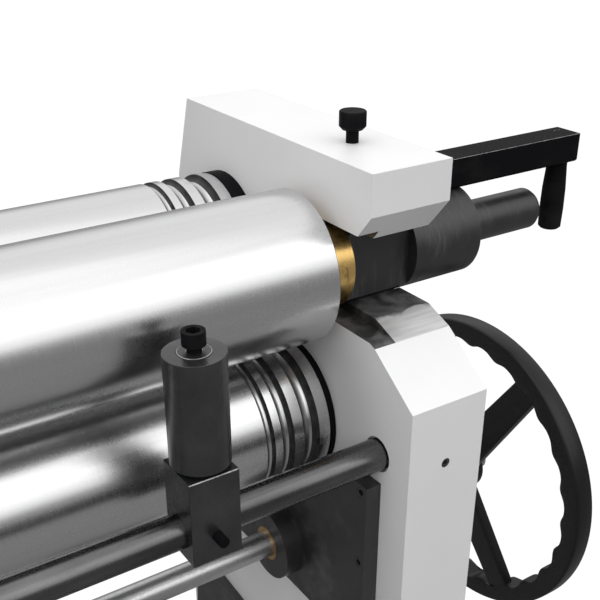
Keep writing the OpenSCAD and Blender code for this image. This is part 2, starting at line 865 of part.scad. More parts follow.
// Knurled lock screw through the upper jaw
module lock_screw() {
  tip = sleeve_r + seat;
  color("black") at(top_at, frame_x + lock_x) union() {
    translate([0, 0, tip]) cylinder(h = frame_rise + lock_show - tip, r = lock_shank_r);
    translate([0, 0, frame_rise + lock_show])
      cylinder(h = lock_cone_h, r1 = lock_head_r * lock_neck_share, r2 = lock_head_r);
    translate([0, 0, frame_rise + lock_show + lock_cone_h])
      cylinder(h = lock_head_h - lock_cone_h, r = lock_head_r);
  }
}

// Guide bar in front of the rolls
module guide_bar() {
  color("dimgray") at(bar_at) bar_x(-frame_x - bar_in + seat, (frame_x + bar_in - seat) * 2, bar_r);
}

// Square block that slides on the guide bar, with its upright roller
module guide_block() {
  color("dimgray") at(bar_at, guide_x) difference() {
    translate([-block_w / 2, -block_w / 2, -block_low]) cube([block_w, block_w, block_h]);
    bar_x(-block_w, block_w * 2, bar_r + slip);
    cylinder(h = block_h, r = guide_screw_r + slip);
    rotate([right_angle, 0, 0]) cylinder(h = block_w, r = block_screw_r + slip);
  }
}

module guide_roller() {
  color("dimgray") at(bar_at, guide_x) difference() {
    translate([0, 0, block_top + guide_gap]) cylinder(h = guide_h, r = guide_r);
    cylinder(h = guide_top + over, r = guide_bush_r + slip);
  }
}

module guide_bush() {
  color("silver") at(bar_at, guide_x) difference() {
    translate([0, 0, block_top + guide_gap]) cylinder(h = guide_h + guide_bush_rise, r = guide_bush_r);
    cylinder(h = guide_top + over, r = guide_screw_r + slip);
  }
}

// Socket screw that carries the roller, its spacer, and the clamp screw of the block
module guide_screws() {
  top = guide_top + guide_raise;
  color("black") at(bar_at, guide_x) {
    difference() {
      union() {
        translate([0, 0, bar_r + seat]) cylinder(h = top - bar_r, r = guide_screw_r);
        translate([0, 0, top]) cylinder(h = guide_head_h, r = guide_head_r);
        translate([0, 0, block_top + seat]) cylinder(h = guide_gap - seat, r = guide_bush_r);
      }
      translate([0, 0, top + guide_head_h * 0.4]) cylinder(h = guide_head_h, r = guide_screw_r, $fn = 6);
    }
    rotate([right_angle, 0, 0]) translate([0, 0, bar_r + seat]) cylinder(h = block_screw_l, r = block_screw_r);
  }
}

// Tie bars between the frames
module tie_bars() {
  color("gray") for (place = tie_at) at(place)
    bar_x(-frame_x - frame_t / 2 + seat, (frame_x + frame_t / 2 - seat) * 2, tie_r);
}

// Gears with long teeth, at the left end
module gear_form(bore) {
  root = gear_pitch_r - gear_ded;
  tip = gear_pitch_r + gear_add;
  rotate([right_angle, 0, right_angle]) linear_extrude(height = gear_w) difference() {
    union() {
      circle(r = root);
      for (i = [0:gear_teeth - 1]) rotate(i * 360 / gear_teeth) polygon([
        [root * 0.9, -gear_root_w / 2], [root, -gear_root_w / 2], [tip, -gear_tip_w / 2],
        [tip, gear_tip_w / 2], [root, gear_root_w / 2], [root * 0.9, gear_root_w / 2]
      ]);
    }
    circle(r = bore);
  }
}

module top_gear() {
  color("gray") at(top_at, -gear_x() - gear_w) rotate([mesh_angle, 0, 0]) gear_form(top_journal_r + slip);
}

module lower_gear() {
  color("gray") at(lower_at, -gear_x() - gear_w) rotate([mesh_angle + 180 / gear_teeth, 0, 0])
    gear_form(lower_journal_r + slip);
}

// Inner face of the drive cover's roof above the top roll axis, at a distance before that axis
function cover_in() = cover_inset + cover_t;
function roof_slope() = (frame_rise - jaw_rise) / (frame_front - nose_front - mouth_step);
function cover_roof(front) = min(
  frame_rise - cover_in(),
  jaw_rise - cover_in() + (frame_front - cover_in() - front) * roof_slope()
);
function box_top() = axis_h + cover_roof(box_d / 2) - box_clear;
function box_low() = box_top() - box_h;

// Worm gearbox hanging on the top roll's journal
module gearbox() {
  color("steelblue") difference() {
    union() {
      translate([-box_x() - box_w, axis_y - box_d / 2, box_low()]) cube([box_w, box_d, box_h]);
      at(top_at) bar_x(-box_x() - box_w - box_gap / 2, box_w + box_gap, box_boss_r);
      translate([-box_x() - box_w / 2, axis_y, box_low() - motor_flange_t])
        cylinder(h = motor_flange_t, r = motor_r);
    }
    at(top_at) bar_x(-box_x() - box_w - box_gap, box_w + box_gap * 2, top_journal_r + slip);
  }
}

// Spacer studs that keep the gearbox from turning against the frame
module torque_studs() {
  color("gray") for (place = torque_places()) at(place)
    bar_x(-box_x() + seat, box_x() - frame_x - frame_t - seat * 2, torque_r);
}

function torque_places() = [
  [axis_y - box_d / 2 + torque_in, box_top() - torque_in],
  [axis_y + box_d / 2 - torque_in, box_top() - torque_in],
  [axis_y - box_d / 2 + torque_in, box_low() + torque_in]
];

module motor() {
  top = box_low() - motor_flange_t - seat;
  color("steelblue") translate([-box_x() - box_w / 2, axis_y, top - motor_l]) union() {
    translate([0, 0, motor_l - motor_flange_t]) cylinder(h = motor_flange_t, r = motor_r);
    translate([0, 0, motor_l * 0.2]) cylinder(h = motor_l * 0.8, r = motor_r * 0.86);
    cylinder(h = motor_l * 0.2, r = motor_r);
    for (i = [0:fin_n - 1]) rotate([0, 0, i * 360 / fin_n])
      translate([motor_r * 0.8, -fin_t / 2, motor_l * 0.2]) cube([motor_r * 0.2, fin_t, motor_l * 0.7]);
  }
}

// Sheet-metal cover over the drive, open towards the frame
module drive_cover() {
  x = -frame_x - frame_t - seat - cover_l;
  color("gainsboro") difference() {
    along_x(x, cover_l) left_outline(cover_inset);
    along_x(x + cover_t, cover_l) left_outline(cover_inset + cover_t);
  }
}

function panel_x() = -frame_x - frame_t - seat - cover_l / 2 - panel_w / 2;
function panel_z() = axis_h - panel_h * 1.1;
function panel_front() = axis_y - frame_front + cover_inset - seat - panel_t;

// Box with the push buttons, on the front of the drive cover
module control_box() {
  color("dimgray") difference() {
    translate([panel_x(), panel_front(), panel_z()]) cube([panel_w, panel_t, panel_h]);
    for (place = button_places()) translate([place[0], panel_front() - over, place[1]])
      rotate([-right_angle, 0, 0]) cylinder(h = button_l * 2 + over, r = button_r * 0.7 + fit);
  }
}

// The two roll buttons side by side, and the stop button below them
function button_places() = [
  [panel_x() + panel_w * 0.3, panel_z() + panel_h * 0.7],
  [panel_x() + panel_w * 0.7, panel_z() + panel_h * 0.7],
  [panel_x() + panel_w * 0.5, panel_z() + panel_h * 0.3]
];

module push_button(i, head_r) {
  place = button_places()[i];
  translate([place[0], panel_front(), place[1]]) rotate([right_angle, 0, 0]) union() {
    translate([0, 0, button_travel + seat]) cylinder(h = button_l * 0.6, r1 = head_r, r2 = head_r * 0.9);
    translate([0, 0, -button_l]) cylinder(h = button_l + button_travel + seat * 2, r = button_r * 0.7);
  }
}

module forward_button() { color("green") push_button(0, button_r); }
module reverse_button() { color("white") push_button(1, button_r); }
module stop_button() { color("red") push_button(2, stop_r); }

// Bed: two box beams between the feet, and a cross foot under each frame
function foot_top() = bed_h;
function foot_inner() = frame_x + frame_t / 2 - foot_w / 2;
function foot_y0() = -anchor_y / 2 - foot_ear / 2;

module bed_beam(y) {
  inner = foot_inner() - seat;
  color("dimgray") difference() {
    translate([-inner, y, foot_h]) cube([inner * 2, beam_w, bed_h - foot_h]);
    translate([-inner - over, y + beam_wall, foot_h + beam_wall])
      cube([inner * 2 + over * 2, beam_w - beam_wall * 2, bed_h - foot_h - beam_wall * 2]);
  }
}

module bed_beam_front() { bed_beam(axis_y - frame_front); }
module bed_beam_back() { bed_beam(axis_y + frame_back - beam_w); }

module cross_foot() {
  color("dimgray") difference() {
    union() {
      translate([foot_inner(), axis_y - frame_front, foot_ear_t])
        cube([foot_w, frame_front + frame_back, bed_h - foot_ear_t - seat]);
      translate([foot_inner(), foot_y0(), 0]) cube([foot_w, anchor_y + foot_ear, foot_ear_t]);
    }
    for (y = [-anchor_y / 2, anchor_y / 2]) translate([frame_x + frame_t / 2, y, -over])
      cylinder(h = foot_ear_t + over * 2, r = anchor_r);
    for (y = frame_bolt_places()) translate([frame_x + frame_t / 2, y, bed_h - foot_h])
      cylinder(h = foot_h + over, r = frame_bolt_r + slip);
  }
}

module cross_foot_right() { cross_foot(); }
module cross_foot_left() { mirror([1, 0, 0]) cross_foot(); }

// Studs that hold the frames on the feet
module frame_studs() {
  color("gray") both_ends() for (y = frame_bolt_places())
    translate([frame_x + frame_t / 2, y, bed_h - foot_h + seat])
      cylinder(h = foot_h + frame_bolt_depth() - seat * 2, r = frame_bolt_r);
}

frame_right();
frame_left();
cross_foot_right();
cross_foot_left();
bed_beam_front();
bed_beam_back();
tie_bars();
frame_studs();
frame_screws();
shaft_plate_right();
shaft_plate_left();
rear_flanges();
pocket_covers();
cross_bushes();
guide_bar();
swivel_housing();
top_roll();
swivel_ball();
top_gear();
release_sleeve();
brass_bush();
pull_stub();
lever_bar();
lever_screws();
lever_handle();
lock_screw();
lower_block_right();
lower_block_left();
lower_bushes();
lower_screws();
lower_roll();
lower_thrust_rings();
lower_gear();
rear_block_right();
rear_block_left();
rear_bushes();
rear_screws();
rear_roll();
rear_thrust_rings();
lower_nut_right();
lower_nut_left();
rear_nut_right();
rear_nut_left();
lower_cross_shaft();
lower_handwheel();
rear_cross_shaft();
rear_handwheel();
guide_block();
guide_screws();
guide_bush();
guide_roller();
gearbox();
motor();
torque_studs();
drive_cover();
control_box();
forward_button();
reverse_button();
stop_button();
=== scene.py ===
"""Looks of a three-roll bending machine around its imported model.

Metres, +Z up, +X along the rolls to the handwheels; the operator stands at -Y.
"""

import functools
import json
import math

import bmesh
import bpy
from mathutils import Matrix, Vector

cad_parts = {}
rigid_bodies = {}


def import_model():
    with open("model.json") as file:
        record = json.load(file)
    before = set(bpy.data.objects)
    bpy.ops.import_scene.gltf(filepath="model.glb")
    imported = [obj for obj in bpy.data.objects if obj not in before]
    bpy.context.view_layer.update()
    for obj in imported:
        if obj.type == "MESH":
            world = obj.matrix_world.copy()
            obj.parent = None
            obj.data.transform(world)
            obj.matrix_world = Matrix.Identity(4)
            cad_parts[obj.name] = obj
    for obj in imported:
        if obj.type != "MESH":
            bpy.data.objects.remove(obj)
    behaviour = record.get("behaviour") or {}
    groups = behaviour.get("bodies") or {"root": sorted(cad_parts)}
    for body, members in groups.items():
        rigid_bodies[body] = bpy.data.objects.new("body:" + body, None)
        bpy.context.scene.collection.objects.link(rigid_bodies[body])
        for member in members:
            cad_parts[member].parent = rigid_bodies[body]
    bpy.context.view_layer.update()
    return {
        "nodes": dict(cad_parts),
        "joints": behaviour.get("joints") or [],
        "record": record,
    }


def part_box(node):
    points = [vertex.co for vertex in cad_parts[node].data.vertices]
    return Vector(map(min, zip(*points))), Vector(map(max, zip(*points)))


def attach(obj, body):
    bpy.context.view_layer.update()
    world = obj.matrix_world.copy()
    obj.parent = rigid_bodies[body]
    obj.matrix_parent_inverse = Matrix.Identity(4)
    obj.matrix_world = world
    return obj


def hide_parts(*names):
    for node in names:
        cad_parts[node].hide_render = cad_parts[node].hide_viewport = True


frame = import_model()

bl_info = {
    "name": "Three-roll bending machine",
    "version": (1, 0, 0),
    "blender": (4, 5, 0),
    "location": "3D View > Sidebar > Bending machine",
    "description": "Finishes the packed bending machine, its handwheels and its studio",
    "category": "Object",
}

MM = 0.001
FULL_TURN = 2 * math.pi
RECORD = frame["record"]
SLOT_OF = {part["node"]: part["material_slot"] for part in RECORD["subparts"]}
BODY_OF = {node: body for body, nodes in RECORD["behaviour"]["bodies"].items() for node in nodes}
JOINTS = {joint["name"]: joint for joint in frame["joints"]}


def shaft_place(joint_name):
    """A point on a shaft's axis at rest, read from its joint"""
    return Vector(JOINTS[joint_name]["pos_m"])


TOP_AXIS = shaft_place("top_roll_spin")
LOWER_AXIS = shaft_place("lower_roll_spin")
REAR_AXIS = shaft_place("rear_roll_spin")
LOWER_WHEEL_AXIS = shaft_place("lower_wheel_turn")
REAR_WHEEL_AXIS = shaft_place("rear_wheel_turn")
FRAME_INNER, FRAME_OUTER = (corner.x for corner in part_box("frame_right"))
WHEEL_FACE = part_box("lower_handwheel")[1].x


# Rolls: radii, ends as distances from the middle, and journals

ROLL_RADIUS = 60 * MM
REAR_RADIUS = 55 * MM
TOP_END = 525 * MM
LOWER_END = TOP_END + 9.3 * MM
REAR_END = TOP_END + 1.3 * MM
TOP_DRIVE_JOURNAL = 25 * MM
TOP_SLEEVE_JOURNAL = 19 * MM
TOP_COLLAR = 30 * MM
TOP_COLLAR_LENGTH = 14.1 * MM
LOWER_JOURNAL = 27 * MM
REAR_JOURNAL = 24 * MM
ROLL_CHAMFER = 0.8 * MM
ROLL_SEGMENTS = 192

# Wire grooves, the lands outside them and the last step, from a roll's right end inwards

GROOVE_WIDTHS = (14.8 * MM, 11.3 * MM, 7.8 * MM)
GROOVE_LANDS = (11.3 * MM, 9.0 * MM, 6.7 * MM)
GROOVE_DEPTH_SHARE = 0.46
GROOVE_STEPS = 18
END_STEP = 4.6 * MM
END_DEPTH = 0.7 * MM

# Faces below the skin, from reach to clear short of the top roll's end, are a groove's

GROOVE_SKIN = 0.3 * MM
GROOVE_REACH = 80 * MM
GROOVE_CLEAR = 1 * MM
# A groove face whose normal leans along the axis more than this is a wall and gets black painted
# shade
GROOVE_WALL = 0.45

# Swivel ball, lock screw and lever handle; a row of the grip is (share of length, of radius)

BALL_RADIUS = 37.85 * MM
BALL_SLIP = 0.1 * MM
BALL_STEPS = 24
PIN_SEGMENTS = 96
LOCK_RADIUS = 10.4 * MM
LOCK_NECK = 8 * MM
LOCK_SHANK = 4.9 * MM
LOCK_HEAD = 11.5 * MM
LOCK_CONE = 2.6 * MM
LOCK_EDGE = 0.8 * MM
HANDLE_LENGTH = 63.5 * MM
HANDLE_RADIUS = 10.7 * MM
HANDLE_GRIP = ((0.0, 0.78), (0.03, 0.96), (0.3, 1.0), (0.6, 0.97))
HANDLE_NECK_START = 0.92
HANDLE_NECK = 9 * MM
HANDLE_STUD = 6 * MM

# Milled mouth of the right frame: distances from the top roll's axis, and a margin at its faces

MOUTH_FRONT = 83.6 * MM
MOUTH_BACK = 50 * MM
MOUTH_BELOW = 42.5 * MM
MOUTH_ABOVE = 39.2 * MM
MOUTH_ABOVE_FRONT = 55 * MM
MOUTH_MARGIN = 1 * MM

# Its oily stain with painted shade under the sleeve: where it starts, how far its edge wanders and
# fades; and the painted shade of the step

STAIN_AND_SHADE_START = 58 * MM
STAIN_AND_SHADE_WANDER = 4 * MM
STAIN_AND_SHADE_FADE = 2 * MM
MOUTH_STEP = 19.3 * MM
STEP_FADE = (0.1 * MM, 0.6 * MM)

# Edges of single parts; fabricated parts have the painted edge times a factor

LEVER_EDGE = 0.8 * MM
BUTTON_EDGE = 0.8 * MM
BLOCK_EDGE = 0.7 * MM
BLOCK_LEAST = 20 * MM
FABRICATED = 2
BEVEL_SEGMENTS = 2

# A face is on a bevel where its normal's upward part is between these; such bevels get painted
# highlights

LEANING = 0.3
LEVEL = 0.95

# Cleaning of meshes

CAD_MERGE = 0.002 * MM
MERGE = 0.001 * MM
FLAT_ANGLE = math.radians(0.6)

# Handwheels: the sizes that aren't inputs of their tree

WHEEL_RADIUS = 154 * MM
GRIP_ANGLE = math.radians(10)
RIM_SEGMENTS = 432
HUB_SEGMENTS = 96
RING_SECTION = 25
HUB_SQUARENESS = 0.15
SPOKES = 3
SPOKE_ANGLE = math.radians(59)
SPOKE_ROOT = 6 * MM
SPOKE_INTO_RIM = 0.6
SPOKE_STATIONS = 12
SPOKE_SECTION = 33
SPOKE_SQUARENESS = 0.25

# Studio; the dome's and the drive end's rises are parts of a direction of length 1

FLOOR_REACH = 9.0
FLOOR_GLOW = 0.82
DOME_LEAN = 0.08
DOME_RISE = (0.06, 0.55)
DRIVE_END_RISE = (-0.9, -0.4)
DRIVE_END_HORIZON = 0.01
LAMP_TARGET = (0.5, TOP_AXIS.y, TOP_AXIS.z)
LAMPS = (
    ("key", (1.3, -2.4, 2.45), (3.6, 2.4)),
    ("top", (0.2, -0.3, 2.9), (2.6, 2.0)),
    ("side", (-2.2, -1.2, 1.9), (1.8, 1.8)),
)
SENSOR_WIDTH = 36.0
CAMERA_SHIFT = (-0.0008, 0.0986)
CAMERA_CLIP = 0.02
WHITE = (1.0, 1.0, 1.0, 1.0)

# Shader nodes: the colour sockets of a Mix node, and the range of a noise that shows

MIX_FIRST, MIX_SECOND, MIX_RESULT = 6, 7, 2
NOISE_LOW, NOISE_HIGH = 0.3, 0.7


# Sizes and colours that a user would change

class MachineSizes(bpy.types.PropertyGroup):
    """Sizes of the finishing work"""
    cast_edge: bpy.props.FloatProperty(
        name="Painted edge", description="Rounding of the painted frames' edges",
        default=0.7 * MM, min=0.0, unit="LENGTH")
    machined_edge: bpy.props.FloatProperty(
        name="Machined edge", description="Chamfer of the machined parts' edges",
        default=0.5 * MM, min=0.0, unit="LENGTH")
    sharp_angle: bpy.props.FloatProperty(
        name="Sharp angle", description="Faces that meet at more than this angle keep an edge",
        default=math.radians(32), subtype="ANGLE")
    wave_count: bpy.props.IntProperty(
        name="Finger grips", description="Number of finger grips inside a handwheel's rim",
        default=24, min=8)
    wave_depth: bpy.props.FloatProperty(
        name="Grip depth", description="Depth of a finger grip",
        default=7.5 * MM, unit="LENGTH")
    rim_depth: bpy.props.FloatProperty(
        name="Rim depth", description="Radial depth of a handwheel's rim",
        default=22.5 * MM, unit="LENGTH")
    rim_squareness: bpy.props.FloatProperty(
        name="Rim squareness", description="Exponent of the rim section: 1 is round, 0 is square",
        default=0.3, min=0.1, max=1.0)


class MachineColours(bpy.types.PropertyGroup):
    """Colours of the finishes"""
    paint: bpy.props.FloatVectorProperty(
        name="Frame paint", description="White paint of the side frames",
        default=(0.80, 0.80, 0.805), subtype="COLOR", min=0.0, max=1.0)
    steel: bpy.props.FloatVectorProperty(
        name="Roll steel", description="Ground steel of the rolls",
        default=(0.65, 0.65, 0.655), subtype="COLOR", min=0.0, max=1.0)
    oxide: bpy.props.FloatVectorProperty(
        name="Black oxide", description="Blackened steel of the sleeve, stub, plates and screws",
        default=(0.018, 0.018, 0.019), subtype="COLOR", min=0.0, max=1.0)
    brass: bpy.props.FloatVectorProperty(
        name="Brass", description="Machined brass of the bush",
        default=(0.80, 0.53, 0.19), subtype="COLOR", min=0.0, max=1.0)
    floor: bpy.props.FloatVectorProperty(
        name="Floor", description="Pale studio floor",
        default=(0.17, 0.17, 0.17), subtype="COLOR", min=0.0, max=1.0)


class StudioSettings(bpy.types.PropertyGroup):
    """Camera and light of the studio"""
    camera_place: bpy.props.FloatVectorProperty(
        name="Camera place", description="Place of the camera",
        default=(0.14793, -0.62517, 1.23334), subtype="TRANSLATION", unit="LENGTH")
    camera_azimuth: bpy.props.FloatProperty(
        name="Camera azimuth", description="Turn of the view from +Y towards +X",
        default=math.radians(33.54), subtype="ANGLE")
    camera_drop: bpy.props.FloatProperty(
        name="Camera drop", description="Angle by which the camera looks down",
        default=math.radians(27.98), subtype="ANGLE")
    camera_lens: bpy.props.FloatProperty(
        name="Lens", description="Focal length on a 36 mm sensor, in millimetres",
        default=57.53, min=1.0, unit="CAMERA")
    dome: bpy.props.FloatProperty(
        name="Dome", description="Strength of the soft light from above",
        default=1.1, min=0.0)
    horizon: bpy.props.FloatProperty(
        name="Horizon", description="Strength of the soft light at the horizon",
        default=0.22, min=0.0)
    key: bpy.props.FloatProperty(
        name="Key lamp", description="Power of the soft lamp in front",
        default=26.0, min=0.0, unit="POWER")
    top: bpy.props.FloatProperty(
        name="Top lamp", description="Power of the soft lamp above",
        default=8.0, min=0.0, unit="POWER")
    side: bpy.props.FloatProperty(
        name="Side lamp", description="Power of the soft lamp at the drive end",
        default=18.0, min=0.0, unit="POWER")
    metal_white: bpy.props.FloatProperty(
        name="White in metal",
        description="Share of the white background that metal shows beside the dome",
        default=0.04, min=0.0, max=1.0, subtype="FACTOR")


SETTING_GROUPS = (
    ("machine_sizes", MachineSizes),
    ("machine_colours", MachineColours),
    ("machine_studio", StudioSettings),
)


def sizes():
    """The sizes that the panel shows"""
    return bpy.context.scene.machine_sizes


def colours():
    """The colours that the panel shows"""
    return bpy.context.scene.machine_colours


def scaled_colour(colour, factor):
    """A colour made darker or lighter by a factor"""
    return tuple(min(1.0, channel * factor) for channel in colour)


# Building of node trees

class NodeBuilder:
    """Adds nodes to a tree; an input is a value or another node's output socket"""
    tree = None

    def add(self, kind, settings=None, **inputs):
        """A new node; an input is named as in Blender, or i0, i1 and so on where names repeat"""
        node = self.tree.nodes.new(kind)
        for name, value in (settings or {}).items():
            setattr(node, name, value)
        for name, value in inputs.items():
            numbered = name[0] == "i" and name[1:].isdigit()
            socket = node.inputs[int(name[1:]) if numbered else name.replace("_", " ")]
            if isinstance(value, bpy.types.NodeSocket):
                self.tree.links.new(value, socket)
            else:
                socket.default_value = value
        return node

    def maths(self, operation, *values):
        """Result of a Math node on one, two or three values"""
        inputs = {f"i{index}": value for index, value in enumerate(values)}
        return self.add("ShaderNodeMath", {"operation": operation}, **inputs).outputs[0]

    def plus(self, first, second):
        """first + second"""
        return self.maths("ADD", first, second)

    def minus(self, first, second):
        """first - second"""
        return self.maths("SUBTRACT", first, second)

    def times(self, first, second):
        """first x second"""
        return self.maths("MULTIPLY", first, second)

    def between(self, value, low, high, out_low=0.0, out_high=1.0, curve="LINEAR"):
        """value from low..high, clamped, as out_low..out_high"""
        node = self.add("ShaderNodeMapRange", {"interpolation_type": curve}, Value=value,
                        From_Min=low, From_Max=high, To_Min=out_low, To_Max=out_high)
        return node.outputs["Result"]


class Finish(NodeBuilder):
    """A material whose nodes are added one after the other round one Principled shader"""

    def __init__(self, name, colour, roughness, metallic=0.0, **constants):
        """The shader's own values; those beyond the first three are named as its sockets are"""
        self.material = bpy.data.materials.new(name)
        self.material.use_nodes = True
        self.material.diffuse_color = (*colour, 1.0)
        self.tree = self.material.node_tree
        self.shader = self.tree.nodes["Principled BSDF"]
        constants |= {"Base_Color": (*colour, 1.0), "Roughness": roughness, "Metallic": metallic}
        for socket, value in constants.items():
            self.shader.inputs[socket.replace("_", " ")].default_value = value

    def feed(self, socket, source):
        """Links a node's output to one of the shader's sockets"""
        self.tree.links.new(source, self.shader.inputs[socket])

    def place(self, stretch=(1.0, 1.0, 1.0), centre=(0.0, 0.0, 0.0)):
        """Object coordinates about a centre, scaled by stretch"""
        coordinates = self.add("ShaderNodeTexCoord").outputs["Object"]
        shifted = self.add("ShaderNodeVectorMath", {"operation": "SUBTRACT"},
                           i0=coordinates, i1=centre).outputs[0]
        return self.add("ShaderNodeVectorMath", {"operation": "MULTIPLY"},
                        i0=shifted, i1=stretch).outputs[0]

    def coordinate(self, axis):
        """One Object coordinate, in metres"""
        return self.add("ShaderNodeSeparateXYZ", Vector=self.place()).outputs[axis]

    def noise(self, scale, detail=3.0, rough=0.55, centre=(0.0, 0.0, 0.0), distortion=0.0):
        """Noise about a centre; scale is per metre, one number or one for each axis"""
        stretch = scale if isinstance(scale, tuple) else (scale, scale, scale)
        return self.add("ShaderNodeTexNoise", Vector=self.place(stretch, centre), Scale=1.0,
                        Detail=detail, Roughness=rough, Distortion=distortion).outputs["Fac"]

    def mix(self, factor, first, second):
        """Mixes two colours; each is a triple or a socket"""
        node = self.add("ShaderNodeMix", {"data_type": "RGBA"}, i0=factor)
        for index, colour in ((MIX_FIRST, first), (MIX_SECOND, second)):
            if isinstance(colour, bpy.types.NodeSocket):
                self.tree.links.new(colour, node.inputs[index])
            else:
                node.inputs[index].default_value = (*colour, 1.0)
        return node.outputs[MIX_RESULT]

    def vary_colour(self, pattern, low, high, first, second):
        """Base colour from first, where the pattern is low, to second, where it is high"""
        self.feed("Base Color", self.mix(self.between(pattern, low, high), first, second))

    def vary_roughness(self, pattern, smoothest, roughest):
        """Roughness that follows a noise"""
        self.feed("Roughness", self.between(pattern, NOISE_LOW, NOISE_HIGH, smoothest, roughest))

    def bump(self, height, distance, strength):
        """Relief of a pattern, with its depth and how much of it shows"""
        node = self.add("ShaderNodeBump", Strength=strength, Distance=distance, Height=height)
        self.feed("Normal", node.outputs["Normal"])


# Finishes

def frame_paint():
    """Sprayed white enamel with a faint orange peel and handling marks"""
    white = tuple(colours().paint)
    finish = Finish("frame_paint", white, 0.42, Coat_Weight=0.15, Coat_Roughness=0.2)
    marks = finish.noise(9.0, 5.0, 0.6)
    finish.vary_colour(marks, 0.35, 0.75, white, scaled_colour(white, 0.965))
    finish.vary_roughness(finish.noise(40.0, 4.0), 0.36, 0.5)
    finish.bump(finish.noise(420.0, 2.0), 0.05 * MM, 0.35)
    return finish.material


def ground_steel(name, axis):
    """Ground roll steel: satin, with faint rings round the roll and soft bands of wear along it"""
    steel = tuple(colours().steel)
    centre = (0.0, axis.y, axis.z)
    finish = Finish(name, steel, 0.2, 1.0)
    rings = finish.noise((420.0, 6.0, 6.0), 3.0, 0.6, centre)
    bands = finish.noise((1.2, 70.0, 70.0), 3.0, 0.55, centre)
    finish.vary_colour(bands, NOISE_LOW, 0.75, steel, scaled_colour(steel, 0.9))
    finish.feed("Roughness", finish.plus(
        finish.between(rings, NOISE_LOW, NOISE_HIGH, 0.21, 0.235),
        finish.between(bands, NOISE_LOW, NOISE_HIGH, 0.0, 0.08)))
    finish.bump(bands, 0.012 * MM, 0.3)
    return finish.material


def groove_steel():
    """Turned floor of a wire groove, less bright than the ground roll: painted shade in the recess
    """
    finish = Finish("groove_steel", (0.55, 0.55, 0.555), 0.32, 1.0)
    rings = finish.noise((900.0, 8.0, 8.0), 3.0, 0.6)
    finish.vary_colour(rings, NOISE_LOW, NOISE_HIGH, (0.60, 0.60, 0.605), (0.46, 0.46, 0.465))
    finish.vary_roughness(rings, 0.26, 0.38)
    finish.bump(rings, 0.01 * MM, 0.3)
    return finish.material


def groove_dirt():
    """Black painted shade on the steep walls of a wire groove"""
    finish = Finish("groove_dirt", (0.02, 0.02, 0.02), 0.45, Specular_IOR_Level=0.3)
    cloud = finish.noise(120.0, 4.0, 0.6)
    finish.vary_colour(cloud, 0.35, NOISE_HIGH, (0.014, 0.014, 0.014), (0.05, 0.05, 0.05))
    finish.vary_roughness(cloud, 0.38, 0.55)
    finish.bump(cloud, 0.02 * MM, 0.3)
    return finish.material


def black_oxide():
    """Blackened steel with turned rings and rubbed grey patches"""
    oxide = tuple(colours().oxide)
    finish = Finish("black_oxide", oxide, 0.4, Specular_IOR_Level=0.6)
    rub = finish.noise((60.0, 14.0, 14.0), 6.0, 0.65)
    scratch = finish.noise((900.0, 60.0, 60.0), 3.0, 0.6)
    worn = finish.times(finish.between(rub, 0.48, 0.72, 0.0, 0.5),
                        finish.between(scratch, 0.4, 0.65))
    finish.feed("Base Color", finish.mix(worn, oxide, (0.16, 0.16, 0.165)))
    finish.vary_roughness(rub, 0.3, 0.48)
    finish.bump(scratch, 0.02 * MM, 0.3)
    return finish.material


def hand_black():
    """Matt black lever, handle, lock screw, guide screws and thrust rings"""
    finish = Finish("hand_black", (0.010, 0.010, 0.011), 0.5, Specular_IOR_Level=0.03)
    grain = finish.noise(300.0, 4.0, 0.65)
    rub = finish.noise((14.0, 30.0, 30.0), 5.0, 0.6)
    finish.vary_colour(rub, 0.5, 0.75, (0.006, 0.006, 0.007), (0.016, 0.016, 0.017))
    finish.vary_roughness(grain, 0.42, 0.58)
    finish.bump(grain, 0.02 * MM, 0.3)
    return finish.material


def worn_edge():
    """Painted highlight: pale steel colour, broken up by a noise, on bevels that face up and
    towards the operator
    """
    finish = Finish("worn_edge", (0.45, 0.45, 0.45), 0.4, 0.3)
    wear = finish.noise(160.0, 4.0, 0.7)
    finish.vary_colour(wear, 0.42, 0.62, (0.45, 0.45, 0.45), (0.18, 0.18, 0.18))
    finish.vary_roughness(wear, 0.32, 0.48)
    finish.bump(wear, 0.02 * MM, 0.3)
    return finish.material


def guide_steel():
    """Drawn bar that is only lightly darkened and shows a grainy highlight"""
    finish = Finish("guide_steel", (0.22, 0.22, 0.222), 0.25, 1.0)
    grain = finish.noise(500.0, 4.0, 0.7)
    patch = finish.noise((8.0, 60.0, 60.0), 4.0)
    finish.vary_colour(patch, 0.35, NOISE_HIGH, (0.15, 0.15, 0.152), (0.07, 0.07, 0.071))
    finish.vary_roughness(grain, 0.2, 0.32)
    finish.bump(grain, 0.03 * MM, 0.35)
    return finish.material


def blackened_bar():
    """Blackened ground steel: smooth, dark and slightly metallic"""
    finish = Finish("blackened_bar", (0.09, 0.09, 0.092), 0.3, 0.85)
    streak = finish.noise((1500.0, 30.0, 30.0), 3.0)
    patch = finish.noise(30.0, 4.0)
    finish.vary_colour(patch, NOISE_LOW, 0.75, (0.10, 0.10, 0.102), (0.06, 0.06, 0.062))
    finish.vary_roughness(streak, 0.24, 0.36)
    finish.bump(patch, 0.02 * MM, 0.2)
    return finish.material


def bright_steel():
    """Plain machined steel with cutter marks"""
    finish = Finish("bright_steel", (0.5, 0.5, 0.505), 0.34, 1.0)
    marks = finish.noise((900.0, 40.0, 900.0), 3.0)
    finish.vary_roughness(marks, 0.26, 0.42)
    finish.bump(marks, 0.02 * MM, 0.3)
    return finish.material


